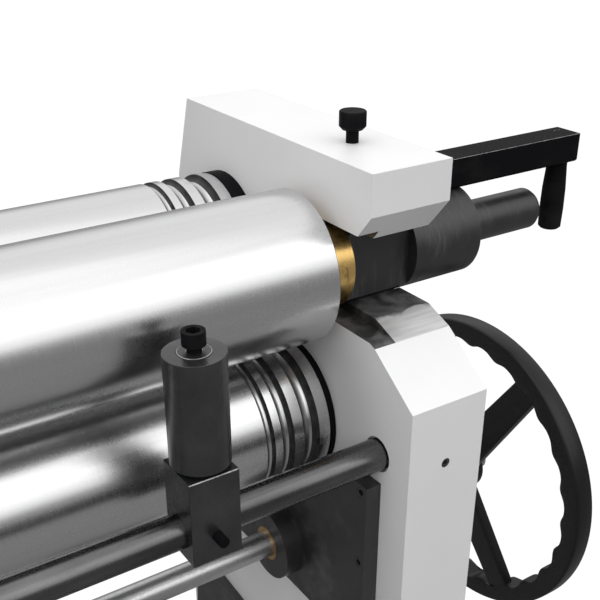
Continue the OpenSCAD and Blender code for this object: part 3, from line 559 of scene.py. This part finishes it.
def mouth_steel():
    """Milled steel of the mouth: pale in front; an oily stain with painted shade under the sleeve,
    and painted shade in the step
    """
    finish = Finish("mouth_steel", (0.45, 0.45, 0.45), 0.4, 0.4)
    cloud = finish.noise(46.0, 5.0, 0.62, distortion=0.5)
    # Darker behind a wandering edge under the sleeve: an oily stain with painted shade
    wander = finish.between(cloud, NOISE_LOW, NOISE_HIGH, -STAIN_AND_SHADE_WANDER, STAIN_AND_SHADE_WANDER)
    stain_and_shade_edge = TOP_AXIS.y - STAIN_AND_SHADE_START
    under_sleeve = finish.between(finish.plus(finish.coordinate("Y"), wander),
                                  stain_and_shade_edge - STAIN_AND_SHADE_FADE, stain_and_shade_edge + STAIN_AND_SHADE_FADE)
    # Painted shade: the step of the mouth is dark up to just past its wall
    step_near, step_far = (FRAME_INNER + MOUTH_STEP + fade for fade in STEP_FADE)
    painted_step_shade = finish.between(finish.coordinate("X"), step_near, step_far, 1.0, 0.0)
    stain_and_shade = finish.maths("MAXIMUM", under_sleeve, painted_step_shade)
    drag = finish.noise((20.0, 260.0, 60.0), 4.0)
    pale = finish.mix(finish.between(drag, 0.35, NOISE_HIGH),
                      (0.60, 0.60, 0.60), (0.46, 0.46, 0.46))
    dark = finish.mix(finish.between(cloud, 0.42, NOISE_HIGH),
                      (0.035, 0.035, 0.035), (0.16, 0.16, 0.16))
    finish.feed("Base Color", finish.mix(stain_and_shade, pale, dark))
    finish.vary_roughness(cloud, 0.28, 0.5)
    finish.bump(drag, 0.03 * MM, 0.3)
    return finish.material


def turned_brass():
    """Turned brass with dark drag marks"""
    brass = tuple(colours().brass)
    finish = Finish("turned_brass", brass, 0.34, 1.0)
    drag = finish.noise((160.0, 420.0, 34.0), 5.0, 0.7)
    rings = finish.noise((1800.0, 20.0, 20.0), 2.0)
    dark = finish.between(drag, 0.56, NOISE_HIGH, 0.0, 0.75)
    finish.feed("Base Color", finish.mix(dark, brass, scaled_colour(brass, 0.22)))
    finish.vary_roughness(rings, 0.26, 0.42)
    finish.bump(drag, 0.03 * MM, 0.35)
    return finish.material


def bronze():
    """Dull cast bronze of the bushes and nuts"""
    finish = Finish("bronze", (0.50, 0.32, 0.15), 0.4, 1.0)
    grain = finish.noise(300.0, 4.0)
    finish.vary_roughness(grain, 0.32, 0.5)
    finish.bump(grain, 0.03 * MM, 0.3)
    return finish.material


def cast_black():
    """Glossy black paint over fine cast grain"""
    finish = Finish("cast_black", (0.008, 0.008, 0.009), 0.3, Specular_IOR_Level=0.25)
    grain = finish.noise(700.0, 3.0, 0.7)
    finish.vary_roughness(grain, 0.24, 0.4)
    finish.bump(grain, 0.08 * MM, 0.35)
    return finish.material


def sprayed(name, colour):
    """Sprayed enamel on fabricated steel"""
    finish = Finish(name, colour, 0.45)
    dust = finish.noise(14.0, 5.0, 0.6)
    finish.vary_colour(dust, 0.35, 0.75, colour, scaled_colour(colour, 0.8))
    finish.vary_roughness(finish.noise(60.0, 3.0), 0.39, 0.53)
    finish.bump(finish.noise(380.0, 2.0), 0.05 * MM, 0.4)
    return finish.material


def moulded(name, colour):
    """Glossy moulded push button"""
    finish = Finish(name, colour, 0.22, Coat_Weight=0.3)
    grain = finish.noise(900.0, 2.0)
    finish.vary_roughness(grain, 0.18, 0.28)
    finish.bump(grain, 0.02 * MM, 0.2)
    return finish.material


FINISH_MAKERS = {
    "frame_paint": frame_paint,
    "base_paint": lambda: sprayed("base_paint", (0.055, 0.057, 0.06)),
    "top_steel": lambda: ground_steel("top_steel", TOP_AXIS),
    "lower_steel": lambda: ground_steel("lower_steel", LOWER_AXIS),
    "rear_steel": lambda: ground_steel("rear_steel", REAR_AXIS),
    "groove_steel": groove_steel,
    "groove_dirt": groove_dirt,
    "black_steel": black_oxide,
    "dark_steel": blackened_bar,
    "hand_black": hand_black,
    "worn_edge": worn_edge,
    "guide_steel": guide_steel,
    "bright_steel": bright_steel,
    "mouth_steel": mouth_steel,
    "cast_black": cast_black,
    "brass": turned_brass,
    "bronze": bronze,
    "drive_paint": lambda: sprayed("drive_paint", (0.035, 0.07, 0.13)),
    "panel_paint": lambda: sprayed("panel_paint", (0.09, 0.09, 0.095)),
    "green": lambda: moulded("green_button", (0.02, 0.25, 0.06)),
    "white_button": lambda: moulded("pale_button", (0.75, 0.75, 0.74)),
    "red": lambda: moulded("red_button", (0.5, 0.015, 0.01)),
}


@functools.cache
def finish_named(name):
    """The finish of that name, made when first asked for"""
    return FINISH_MAKERS[name]()


# What every piece needs

def linked(name, data):
    """A new object of the scene"""
    item = bpy.data.objects.new(name, data)
    bpy.context.scene.collection.objects.link(item)
    return item


def evaluated_mesh(item):
    """An object's mesh as its modifiers make it"""
    graph = bpy.context.evaluated_depsgraph_get()
    return bpy.data.meshes.new_from_object(item.evaluated_get(graph))


def smooth(mesh):
    """Shades a mesh smooth between its sharp edges"""
    mesh.shade_smooth()
    mesh.set_sharp_from_angle(angle=sizes().sharp_angle)


def finished_mesh(work, name):
    """Ends bmesh work as a smooth mesh"""
    mesh = bpy.data.meshes.new(name)
    work.to_mesh(mesh)
    work.free()
    smooth(mesh)
    return mesh


def settle(piece, node):
    """Ties a finished piece to its CAD node's body, and hides the node"""
    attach(piece, BODY_OF[node])
    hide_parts(node)


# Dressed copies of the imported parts

def cad_mesh(node, edge, least):
    """The node's mesh as clean faces, its sharp edges of at least a length bevelled by edge"""
    work = bmesh.new()
    work.from_mesh(frame["nodes"][node].data)
    for face in work.faces:
        face.material_index = 0
    bmesh.ops.remove_doubles(work, verts=work.verts, dist=CAD_MERGE)
    bmesh.ops.dissolve_limit(work, angle_limit=FLAT_ANGLE, verts=work.verts, edges=work.edges)
    sharp = [side for side in work.edges
             if side.calc_face_angle(0.0) > sizes().sharp_angle and side.calc_length() >= least]
    if edge and sharp:
        bmesh.ops.bevel(work, geom=sharp, offset=edge, segments=BEVEL_SEGMENTS, profile=0.5,
                        affect="EDGES", clamp_overlap=True, offset_type="OFFSET")
    return finished_mesh(work, node + "_dressed")


def even_shading(piece):
    """Lets large faces set the normals, so that a flat face beside a bevel shades flat"""
    piece.modifiers.new("even", "WEIGHTED_NORMAL").keep_sharp = True
    mesh = evaluated_mesh(piece)
    piece.modifiers.clear()
    piece.data = mesh


def dress(node, finish_name, edge=None, choose=None, second_finish=None, least=0.0):
    """A finished piece for a CAD node; choose(centre, normal) is 1 on its second finish's faces"""
    mesh = cad_mesh(node, sizes().machined_edge if edge is None else edge, least)
    mesh.materials.append(finish_named(finish_name))
    if choose:
        mesh.materials.append(finish_named(second_finish))
        for face in mesh.polygons:
            face.material_index = choose(face.center, face.normal)
    piece = linked(node + "_piece", mesh)
    even_shading(piece)
    settle(piece, node)


def upper_bevel(centre, normal):
    """1 on a bevel that faces up, as round a bush's top, which gets a painted highlight"""
    return int(LEANING < normal.z < LEVEL)


def front_bevel(centre, normal):
    """1 on the bevel of a top edge that faces the operator, which gets a painted highlight"""
    return int(normal.z > LEANING and normal.y < -LEANING)


def bare_mouth(centre, normal):
    """1 on the milled faces inside the right frame's mouth"""
    depth, height = centre.y - TOP_AXIS.y, centre.z - TOP_AXIS.z
    within = FRAME_INNER + MOUTH_MARGIN < centre.x < FRAME_OUTER - MOUTH_MARGIN
    inside = -MOUTH_FRONT < depth < MOUTH_BACK
    below = -MOUTH_BELOW < height < 0.0
    above = 0.0 <= height < MOUTH_ABOVE and depth > -MOUTH_ABOVE_FRONT
    return int(within and inside and (below or above))


# Turned pieces; an outline is a list of (place along the axis, radius)

def groove_profile(end, radius):
    """Outline of the wire grooves and the last step, from the innermost groove outwards"""
    shoulder = end - END_STEP
    points = [(shoulder, radius), (shoulder, radius - END_DEPTH)]
    edge = end
    for width, land in zip(GROOVE_WIDTHS, GROOVE_LANDS):
        right = edge - land
        bow = width / 2
        rise = bow - width * GROOVE_DEPTH_SHARE
        half_arc = math.acos(rise / bow)
        arc = []
        for step in range(GROOVE_STEPS + 1):
            angle = -half_arc + 2 * half_arc * step / GROOVE_STEPS
            arc.append((right - bow + bow * math.sin(angle), radius + rise - bow * math.cos(angle)))
        points = arc + points
        edge = right - width
    return points


def roll_profile(low, high, end, radius, left_journal, right_journal, grooves=(), collar=()):
    """Outline of a roll from its left journal's end to its right one's"""
    rim = radius - END_DEPTH if grooves else radius
    return [(low, 0.0), (low, left_journal), *collar, (-end, left_journal),
            (-end, radius - ROLL_CHAMFER), (-end + ROLL_CHAMFER, radius), *grooves,
            (end - ROLL_CHAMFER, rim), (end, rim - ROLL_CHAMFER),
            (end, right_journal), (high, right_journal), (high, 0.0)]


def ball_profile(low, high):
    """Outline of the swivel ball, bored for the top roll's journal"""
    middle, half = (low + high) / 2, (high - low) / 2
    bore = TOP_DRIVE_JOURNAL + BALL_SLIP
    points = [(low, bore)]
    for step in range(BALL_STEPS + 1):
        along = half * (2 * step / BALL_STEPS - 1)
        points.append((middle + along, math.sqrt(BALL_RADIUS ** 2 - along ** 2)))
    return points + [(high, bore), (low, bore)]


def lock_profile(low, high):
    """Outline of the lock screw: shank, cone and chamfered head"""
    head = high - LOCK_HEAD
    neck = head - LOCK_CONE
    return [(low, 0.0), (low, LOCK_SHANK), (neck, LOCK_SHANK), (neck, LOCK_NECK),
            (head, LOCK_RADIUS), (high - LOCK_EDGE, LOCK_RADIUS),
            (high, LOCK_RADIUS - LOCK_EDGE), (high, 0.0)]


def handle_profile(shoulder, high):
    """Outline of the lever handle, which hangs below its shoulder on a riveted stud"""
    foot = shoulder - HANDLE_LENGTH
    grip = [(foot + HANDLE_LENGTH * along, HANDLE_RADIUS * share) for along, share in HANDLE_GRIP]
    return [(foot, 0.0), *grip, (foot + HANDLE_LENGTH * HANDLE_NECK_START, HANDLE_NECK),
            (shoulder, HANDLE_NECK), (shoulder, HANDLE_STUD), (high, HANDLE_STUD), (high, 0.0)]


def turned_mesh(name, axis, profile, segments, upright):
    """Mesh of an outline turned about an axis"""
    work = bmesh.new()
    rings = []
    for along, radius in profile:
        ring = []
        for step in range(segments if radius else 1):
            angle = FULL_TURN * step / segments
            right, up = radius * math.cos(angle), radius * math.sin(angle)
            if upright:
                ring.append(work.verts.new((axis.x + right, axis.y + up, along)))
            else:
                ring.append(work.verts.new((along, axis.y + right, axis.z + up)))
        rings.append(ring)
    for ring, following in zip(rings, rings[1:]):
        for step in range(segments):
            after = (step + 1) % segments
            if len(ring) == 1:
                work.faces.new((ring[0], following[after], following[step]))
            elif len(following) == 1:
                work.faces.new((ring[step], ring[after], following[0]))
            else:
                work.faces.new((ring[step], ring[after], following[after], following[step]))
    bmesh.ops.remove_doubles(work, verts=work.verts, dist=MERGE)
    bmesh.ops.recalc_face_normals(work, faces=work.faces)
    return finished_mesh(work, name)


def turned(node, finish_name, axis, profile, segments=ROLL_SEGMENTS, upright=False):
    """A turned piece for a CAD node, about an axis along X, or along Z if upright"""
    mesh = turned_mesh(node + "_turned", axis, profile, segments, upright)
    for name in (finish_name, "groove_steel", "groove_dirt"):
        mesh.materials.append(finish_named(name))
    floor = max(radius for _, radius in profile) - GROOVE_SKIN
    for face in mesh.polygons:
        centre = face.center
        deep = math.hypot(centre.y - axis.y, centre.z - axis.z) < floor
        grooved = TOP_END - GROOVE_REACH < centre.x < TOP_END - GROOVE_CLEAR
        if deep and grooved and not upright:
            # Steep walls get the black painted shade; floors get the darker groove steel, also
            # painted shade
            face.material_index = 2 if abs(face.normal.x) > GROOVE_WALL else 1
    settle(linked(node + "_piece", mesh), node)


# Handwheels, by Geometry Nodes

class Tree(NodeBuilder):
    """A Geometry Nodes tree with named inputs, which ends realized and with its material"""

    def __init__(self, name, **inputs):
        """A tree with an input for each named size or count"""
        self.tree = bpy.data.node_groups.new(name, "GeometryNodeTree")
        self.values = inputs
        self.ids = {}
        for label, value in inputs.items():
            kind = "NodeSocketInt" if isinstance(value, int) else "NodeSocketFloat"
            socket = self.tree.interface.new_socket(label.replace("_", " "), in_out="INPUT",
                                                    socket_type=kind)
            self.ids[label] = socket.identifier
        self.tree.interface.new_socket("Geometry", in_out="OUTPUT",
                                       socket_type="NodeSocketGeometry")
        self.source = self.add("NodeGroupInput")

    def given(self, label):
        """The socket of a named input"""
        return self.source.outputs[label.replace("_", " ")]

    def power(self, wave, exponent):
        """Signed power of a wave, which squares off a round section"""
        size = self.maths("POWER", self.maths("ABSOLUTE", wave), exponent)
        return self.times(self.maths("SIGN", wave), size)

    def sheet(self, along, across):
        """A grid, with its two shares 0..1"""
        grid = self.add("GeometryNodeMeshGrid", Size_X=1.0, Size_Y=1.0,
                        Vertices_X=along, Vertices_Y=across)
        position = self.add("GeometryNodeInputPosition").outputs[0]
        split = self.add("ShaderNodeSeparateXYZ", Vector=position)
        return grid.outputs["Mesh"], [self.plus(split.outputs[axis], 0.5) for axis in ("X", "Y")]

    def moved(self, geometry, x, y, z):
        """The geometry with its points at new places, and its seams merged"""
        place = self.add("ShaderNodeCombineXYZ", X=x, Y=y, Z=z).outputs[0]
        placed = self.add("GeometryNodeSetPosition", Geometry=geometry, Position=place).outputs[0]
        return self.add("GeometryNodeMergeByDistance", Geometry=placed, Distance=MERGE).outputs[0]

    def joined(self, *parts):
        """Several geometries as one"""
        node = self.add("GeometryNodeJoinGeometry")
        for part in parts:
            self.tree.links.new(part, node.inputs[0])
        return node.outputs[0]

    def repeated(self, geometry, count, first_angle, turn):
        """count copies about X, the first turned by first_angle and each by turn more"""
        line = self.add("GeometryNodeMeshLine", Count=count, Offset=(0.0, 0.0, 0.0)).outputs[0]
        index = self.add("GeometryNodeInputIndex").outputs[0]
        angle = self.plus(first_angle, self.times(index, turn))
        turned_by = self.add("ShaderNodeCombineXYZ", X=angle).outputs[0]
        return self.add("GeometryNodeInstanceOnPoints", Points=line, Instance=geometry,
                        Rotation=turned_by).outputs[0]

    def piece(self, name, geometry, material, place):
        """Runs the tree, and returns its plain mesh moved to a place as an object"""
        solid = self.add("GeometryNodeRealizeInstances", Geometry=geometry).outputs[0]
        coloured = self.add("GeometryNodeSetMaterial", Geometry=solid, Material=material)
        self.tree.links.new(coloured.outputs[0], self.add("NodeGroupOutput").inputs[0])
        host = linked(name + "_host", bpy.data.meshes.new(name + "_host"))
        modifier = host.modifiers.new("maker", "NODES")
        modifier.node_group = self.tree
        for label, value in self.values.items():
            modifier[self.ids[label]] = value
        mesh = evaluated_mesh(host)
        bpy.data.objects.remove(host)
        mesh.transform(Matrix.Translation(place))
        smooth(mesh)
        return linked(name, mesh)


def wheel_ring(tree, radius, depth, width, middle, squareness, around, waves=False):
    """A ring about X with a rounded square section, wavy inside where waves is set"""
    mesh, (turn, section) = tree.sheet(around + 1, RING_SECTION)
    angle = tree.times(turn, FULL_TURN)
    bow = tree.times(section, FULL_TURN)
    across = tree.times(tree.power(tree.maths("COSINE", bow), squareness), tree.times(width, 0.5))
    outward = tree.maths("SINE", bow)
    half_depth = tree.times(depth, 0.5)
    reach = tree.plus(tree.minus(radius, half_depth),
                      tree.times(tree.power(outward, squareness), half_depth))
    if waves:
        phase = tree.minus(angle, GRIP_ANGLE)
        wave = tree.maths("COSINE", tree.times(phase, tree.given("grips")))
        inward = tree.maths("MAXIMUM", tree.times(outward, -1.0), 0.0)
        dip = tree.times(tree.maths("MULTIPLY_ADD", wave, 0.5, 0.5), inward)
        reach = tree.plus(reach, tree.times(dip, tree.given("grip_depth")))
    y = tree.times(tree.times(reach, tree.maths("COSINE", angle)), -1.0)
    z = tree.times(reach, tree.maths("SINE", angle))
    return tree.moved(mesh, tree.plus(across, middle), y, z)


def wheel_spoke(tree, reach_ends, width_ends, middle_ends, thickness):
    """A flat bar with rounded edges towards -Y; each pair of ends is (at the hub, at the rim)"""
    mesh, (along, section) = tree.sheet(SPOKE_STATIONS, SPOKE_SECTION)
    bow = tree.times(section, FULL_TURN)
    reach, width, middle = (tree.between(along, 0.0, 1.0, *ends)
                            for ends in (reach_ends, width_ends, middle_ends))
    x = tree.times(tree.power(tree.maths("COSINE", bow), SPOKE_SQUARENESS),
                   tree.times(thickness, 0.5))
    z = tree.times(tree.power(tree.maths("SINE", bow), SPOKE_SQUARENESS), tree.times(width, 0.5))
    return tree.moved(mesh, tree.plus(x, middle), tree.times(reach, -1.0), z)


def handwheel(node, axis):
    """Rim with finger grips and three spokes dished back to the hub"""
    setting = sizes()
    tree = Tree(node, radius=WHEEL_RADIUS, rim_depth=setting.rim_depth, rim_width=21 * MM,
                grips=setting.wave_count, grip_depth=setting.wave_depth,
                squareness=setting.rim_squareness, hub_radius=26 * MM, bore=12.3 * MM,
                hub_length=36 * MM, hub_middle=-34 * MM, spoke_thickness=12 * MM,
                spoke_foot=35 * MM, spoke_tip=27 * MM, foot_middle=-30 * MM,
                tip_middle=-13.5 * MM)
    given = tree.given
    rim = wheel_ring(tree, given("radius"), given("rim_depth"), given("rim_width"),
                     tree.times(given("rim_width"), -0.5), given("squareness"),
                     RIM_SEGMENTS, waves=True)
    hub = wheel_ring(tree, given("hub_radius"), tree.minus(given("hub_radius"), given("bore")),
                     given("hub_length"), given("hub_middle"), HUB_SQUARENESS, HUB_SEGMENTS)
    root = tree.minus(given("hub_radius"), SPOKE_ROOT)
    tip = tree.minus(given("radius"), tree.times(given("rim_depth"), SPOKE_INTO_RIM))
    spoke = wheel_spoke(tree, (root, tip), (given("spoke_foot"), given("spoke_tip")),
                        (given("foot_middle"), given("tip_middle")), given("spoke_thickness"))
    spokes = tree.repeated(spoke, SPOKES, -SPOKE_ANGLE, -FULL_TURN / SPOKES)
    piece = tree.piece(node + "_piece", tree.joined(rim, hub, spokes), finish_named("cast_black"),
                       Vector((WHEEL_FACE, axis.y, axis.z)))
    settle(piece, node)


# Studio

def white_share(builder, metal):
    """Share of the white background a ray sees: all for camera and glass, a part for metal"""
    path = builder.add("ShaderNodeLightPath")
    shown = builder.maths("MAXIMUM", path.outputs["Is Camera Ray"],
                          path.outputs["Is Transmission Ray"])
    return builder.maths("MULTIPLY_ADD", path.outputs["Is Glossy Ray"], metal, shown)


def studio_floor(studio):
    """Pale floor that shows white to the camera and keeps the shadow"""
    mesh = bpy.data.meshes.new("floor")
    corners = [(x * FLOOR_REACH, y * FLOOR_REACH, 0.0)
               for x, y in ((-1, -1), (1, -1), (1, 1), (-1, 1))]
    mesh.from_pydata(corners, [], [(0, 1, 2, 3)])
    ground = Finish("floor", tuple(colours().floor), 0.9, Emission_Color=WHITE)
    ground.feed("Emission Strength",
                ground.times(white_share(ground, studio.metal_white), FLOOR_GLOW))
    mesh.materials.append(ground.material)
    linked("floor", mesh)


def studio_world(scene, studio):
    """White to the camera; a dome that darkens towards the horizon, most at the drive end"""
    scene.world = bpy.data.worlds.new("studio")
    scene.world.use_nodes = True
    sky = NodeBuilder()
    sky.tree = scene.world.node_tree
    generated = sky.add("ShaderNodeTexCoord").outputs["Generated"]
    direction = sky.add("ShaderNodeSeparateXYZ", Vector=generated).outputs
    height = sky.maths("MULTIPLY_ADD", direction["Y"], DOME_LEAN, direction["Z"])
    horizon = sky.between(direction["X"], *DRIVE_END_RISE, DRIVE_END_HORIZON, studio.horizon)
    dome = sky.between(height, *DOME_RISE, horizon, studio.dome, curve="SMOOTHSTEP")
    seen = sky.add("ShaderNodeMix", {"data_type": "FLOAT"},
                   Factor=white_share(sky, studio.metal_white), A=dome, B=1.0)
    background = sky.tree.nodes["Background"]
    background.inputs["Color"].default_value = WHITE
    sky.tree.links.new(seen.outputs["Result"], background.inputs["Strength"])


def soft_lamp(name, place, size, power):
    """A rectangular lamp that faces the right end of the rolls"""
    lamp = bpy.data.lights.new(name, "AREA")
    lamp.shape = "RECTANGLE"
    lamp.size, lamp.size_y = size
    lamp.energy = power
    item = linked(name, lamp)
    item.location = place
    aim = Vector(LAMP_TARGET) - Vector(place)
    item.rotation_euler = aim.to_track_quat("-Z", "Y").to_euler()


def studio_camera(scene, studio):
    """The camera at the photograph's place and angle"""
    camera = linked("camera", bpy.data.cameras.new("camera"))
    camera.location = studio.camera_place
    camera.rotation_euler = (math.pi / 2 - studio.camera_drop, 0.0, -studio.camera_azimuth)
    camera.data.lens = studio.camera_lens
    camera.data.sensor_width = SENSOR_WIDTH
    camera.data.shift_x, camera.data.shift_y = CAMERA_SHIFT
    camera.data.clip_start = CAMERA_CLIP
    scene.camera = camera


# Operators

class MachineOperator:
    """What all the operators share"""
    bl_options = {"REGISTER"}


class BENDER_OT_studio(MachineOperator, bpy.types.Operator):
    """Floor, light and camera"""
    bl_idname = "bender.studio"
    bl_label = "Studio"

    def execute(self, context):
        scene = context.scene
        studio = scene.machine_studio
        studio_floor(studio)
        studio_world(scene, studio)
        for name, place, size in LAMPS:
            soft_lamp(name, place, size, getattr(studio, name))
        studio_camera(scene, studio)
        scene.view_settings.view_transform = "Standard"
        return {"FINISHED"}


class BENDER_OT_frames(MachineOperator, bpy.types.Operator):
    """White side frames with the bare milled mouth"""
    bl_idname = "bender.frames"
    bl_label = "Side frames"

    def execute(self, context):
        edge = sizes().cast_edge
        dress("frame_right", "frame_paint", edge, bare_mouth, "mouth_steel")
        for node in ("frame_left", "pocket_covers", "drive_cover"):
            dress(node, "frame_paint", edge)
        return {"FINISHED"}


class BENDER_OT_base(MachineOperator, bpy.types.Operator):
    """Feet, bed beams, tie bars and studs"""
    bl_idname = "bender.base"
    bl_label = "Base"

    def execute(self, context):
        for node in ("cross_foot_right", "cross_foot_left", "bed_beam_front", "bed_beam_back"):
            dress(node, "base_paint", sizes().cast_edge * FABRICATED)
        dress("tie_bars", "bright_steel")
        dress("frame_studs", "dark_steel")
        dress("torque_studs", "bright_steel")
        return {"FINISHED"}


class BENDER_OT_rolls(MachineOperator, bpy.types.Operator):
    """Ground rolls with their thrust rings, gears and left swivel"""
    bl_idname = "bender.rolls"
    bl_label = "Rolls"

    def execute(self, context):
        low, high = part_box("top_roll")
        collar_end = -TOP_END - TOP_COLLAR_LENGTH
        collar = [(collar_end, TOP_DRIVE_JOURNAL), (collar_end, TOP_COLLAR),
                  (-TOP_END, TOP_COLLAR)]
        turned("top_roll", "top_steel", TOP_AXIS,
               roll_profile(low.x, high.x, TOP_END, ROLL_RADIUS, TOP_DRIVE_JOURNAL,
                            TOP_SLEEVE_JOURNAL, collar=collar))
        for node, finish_name, axis, end, radius, journal in (
                ("lower_roll", "lower_steel", LOWER_AXIS, LOWER_END, ROLL_RADIUS, LOWER_JOURNAL),
                ("rear_roll", "rear_steel", REAR_AXIS, REAR_END, REAR_RADIUS, REAR_JOURNAL)):
            low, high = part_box(node)
            turned(node, finish_name, axis,
                   roll_profile(low.x, high.x, end, radius, journal, journal,
                                groove_profile(end, radius)))
        for node in ("lower_thrust_rings", "rear_thrust_rings"):
            dress(node, "hand_black")
        for node in ("top_gear", "lower_gear", "swivel_housing"):
            dress(node, "dark_steel")
        low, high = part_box("swivel_ball")
        turned("swivel_ball", "bright_steel", (low + high) / 2, ball_profile(low.x, high.x))
        return {"FINISHED"}


class BENDER_OT_release(MachineOperator, bpy.types.Operator):
    """Release sleeve, brass bush, stub, lever and lock screw"""
    bl_idname = "bender.release"
    bl_label = "Release end"

    def execute(self, context):
        for node in ("release_sleeve", "pull_stub", "lever_screws"):
            dress(node, "black_steel")
        # The lever's top front bevel gets a painted highlight
        dress("lever_bar", "hand_black", LEVER_EDGE, front_bevel, "worn_edge")
        dress("brass_bush", "brass")
        low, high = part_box("lock_screw")
        turned("lock_screw", "hand_black", (low + high) / 2, lock_profile(low.z, high.z),
               PIN_SEGMENTS, upright=True)
        low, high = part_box("lever_handle")
        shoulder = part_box("lever_bar")[0].z
        turned("lever_handle", "hand_black", (low + high) / 2, handle_profile(shoulder, high.z),
               PIN_SEGMENTS, upright=True)
        return {"FINISHED"}


class BENDER_OT_guide(MachineOperator, bpy.types.Operator):
    """Guide bar, block, roller and screws"""
    bl_idname = "bender.guide"
    bl_label = "Guide"

    def execute(self, context):
        dress("guide_bar", "guide_steel")
        # The block's top front bevel gets a painted highlight
        dress("guide_block", "dark_steel", BLOCK_EDGE, front_bevel, "worn_edge", BLOCK_LEAST)
        dress("guide_roller", "dark_steel")
        dress("guide_screws", "hand_black")
        # Bright steel on the bush's upward bevels is a painted highlight
        dress("guide_bush", "dark_steel", None, upper_bevel, "bright_steel")
        return {"FINISHED"}


class BENDER_OT_bearings(MachineOperator, bpy.types.Operator):
    """Bearing blocks, bushes, screws, nuts, plates and cross shafts"""
    bl_idname = "bender.bearings"
    bl_label = "Bearings and jacks"

    def execute(self, context):
        for node in ("shaft_plate_right", "shaft_plate_left", "rear_flanges", "frame_screws"):
            dress(node, "black_steel")
        for node in ("lower_block_right", "lower_block_left", "rear_block_right",
                     "rear_block_left"):
            dress(node, "dark_steel")
        for node in ("lower_screws", "rear_screws", "lower_cross_shaft", "rear_cross_shaft"):
            dress(node, "bright_steel", 0.0)
        for node in ("cross_bushes", "lower_bushes", "rear_bushes", "lower_nut_right",
                     "lower_nut_left", "rear_nut_right", "rear_nut_left"):
            dress(node, "bronze", 0.0)
        return {"FINISHED"}


class BENDER_OT_handwheels(MachineOperator, bpy.types.Operator):
    """Black handwheels with finger grips inside their rims"""
    bl_idname = "bender.handwheels"
    bl_label = "Handwheels"

    def execute(self, context):
        handwheel("lower_handwheel", LOWER_WHEEL_AXIS)
        handwheel("rear_handwheel", REAR_WHEEL_AXIS)
        return {"FINISHED"}


class BENDER_OT_drive(MachineOperator, bpy.types.Operator):
    """Gearbox, motor, control box and buttons"""
    bl_idname = "bender.drive"
    bl_label = "Drive and controls"

    def execute(self, context):
        for node, finish_name in (("gearbox", "drive_paint"), ("motor", "drive_paint"),
                                  ("control_box", "panel_paint")):
            dress(node, finish_name, sizes().cast_edge * FABRICATED)
        for node in ("forward_button", "reverse_button", "stop_button"):
            dress(node, SLOT_OF[node], BUTTON_EDGE)
        return {"FINISHED"}


OPERATORS = (
    BENDER_OT_studio,
    BENDER_OT_frames,
    BENDER_OT_base,
    BENDER_OT_rolls,
    BENDER_OT_release,
    BENDER_OT_guide,
    BENDER_OT_bearings,
    BENDER_OT_handwheels,
    BENDER_OT_drive,
)


class BENDER_PT_machine(bpy.types.Panel):
    """Steps and settings of the bending machine"""
    bl_idname = "BENDER_PT_machine"
    bl_label = "Bending machine"
    bl_space_type = "VIEW_3D"
    bl_region_type = "UI"
    bl_category = "Bending machine"

    def draw(self, context):
        for operator in OPERATORS:
            self.layout.operator(operator.bl_idname)
        for name, group in SETTING_GROUPS:
            box = self.layout.box()
            settings = getattr(context.scene, name)
            for field in group.__annotations__:
                box.prop(settings, field)


CLASSES = (*OPERATORS, BENDER_PT_machine)


def register():
    """Registers the settings, the operators and the panel"""
    for name, group in SETTING_GROUPS:
        bpy.utils.register_class(group)
        setattr(bpy.types.Scene, name, bpy.props.PointerProperty(type=group))
    for item in CLASSES:
        bpy.utils.register_class(item)


def unregister():
    """Takes back what register does"""
    for item in reversed(CLASSES):
        bpy.utils.unregister_class(item)
    for name, group in reversed(SETTING_GROUPS):
        delattr(bpy.types.Scene, name)
        bpy.utils.unregister_class(group)


def main():
    """Makes every piece and the studio"""
    register()
    for operator in OPERATORS:
        group, name = operator.bl_idname.split(".")
        getattr(getattr(bpy.ops, group), name)()


if __name__ == "__main__":
    main()
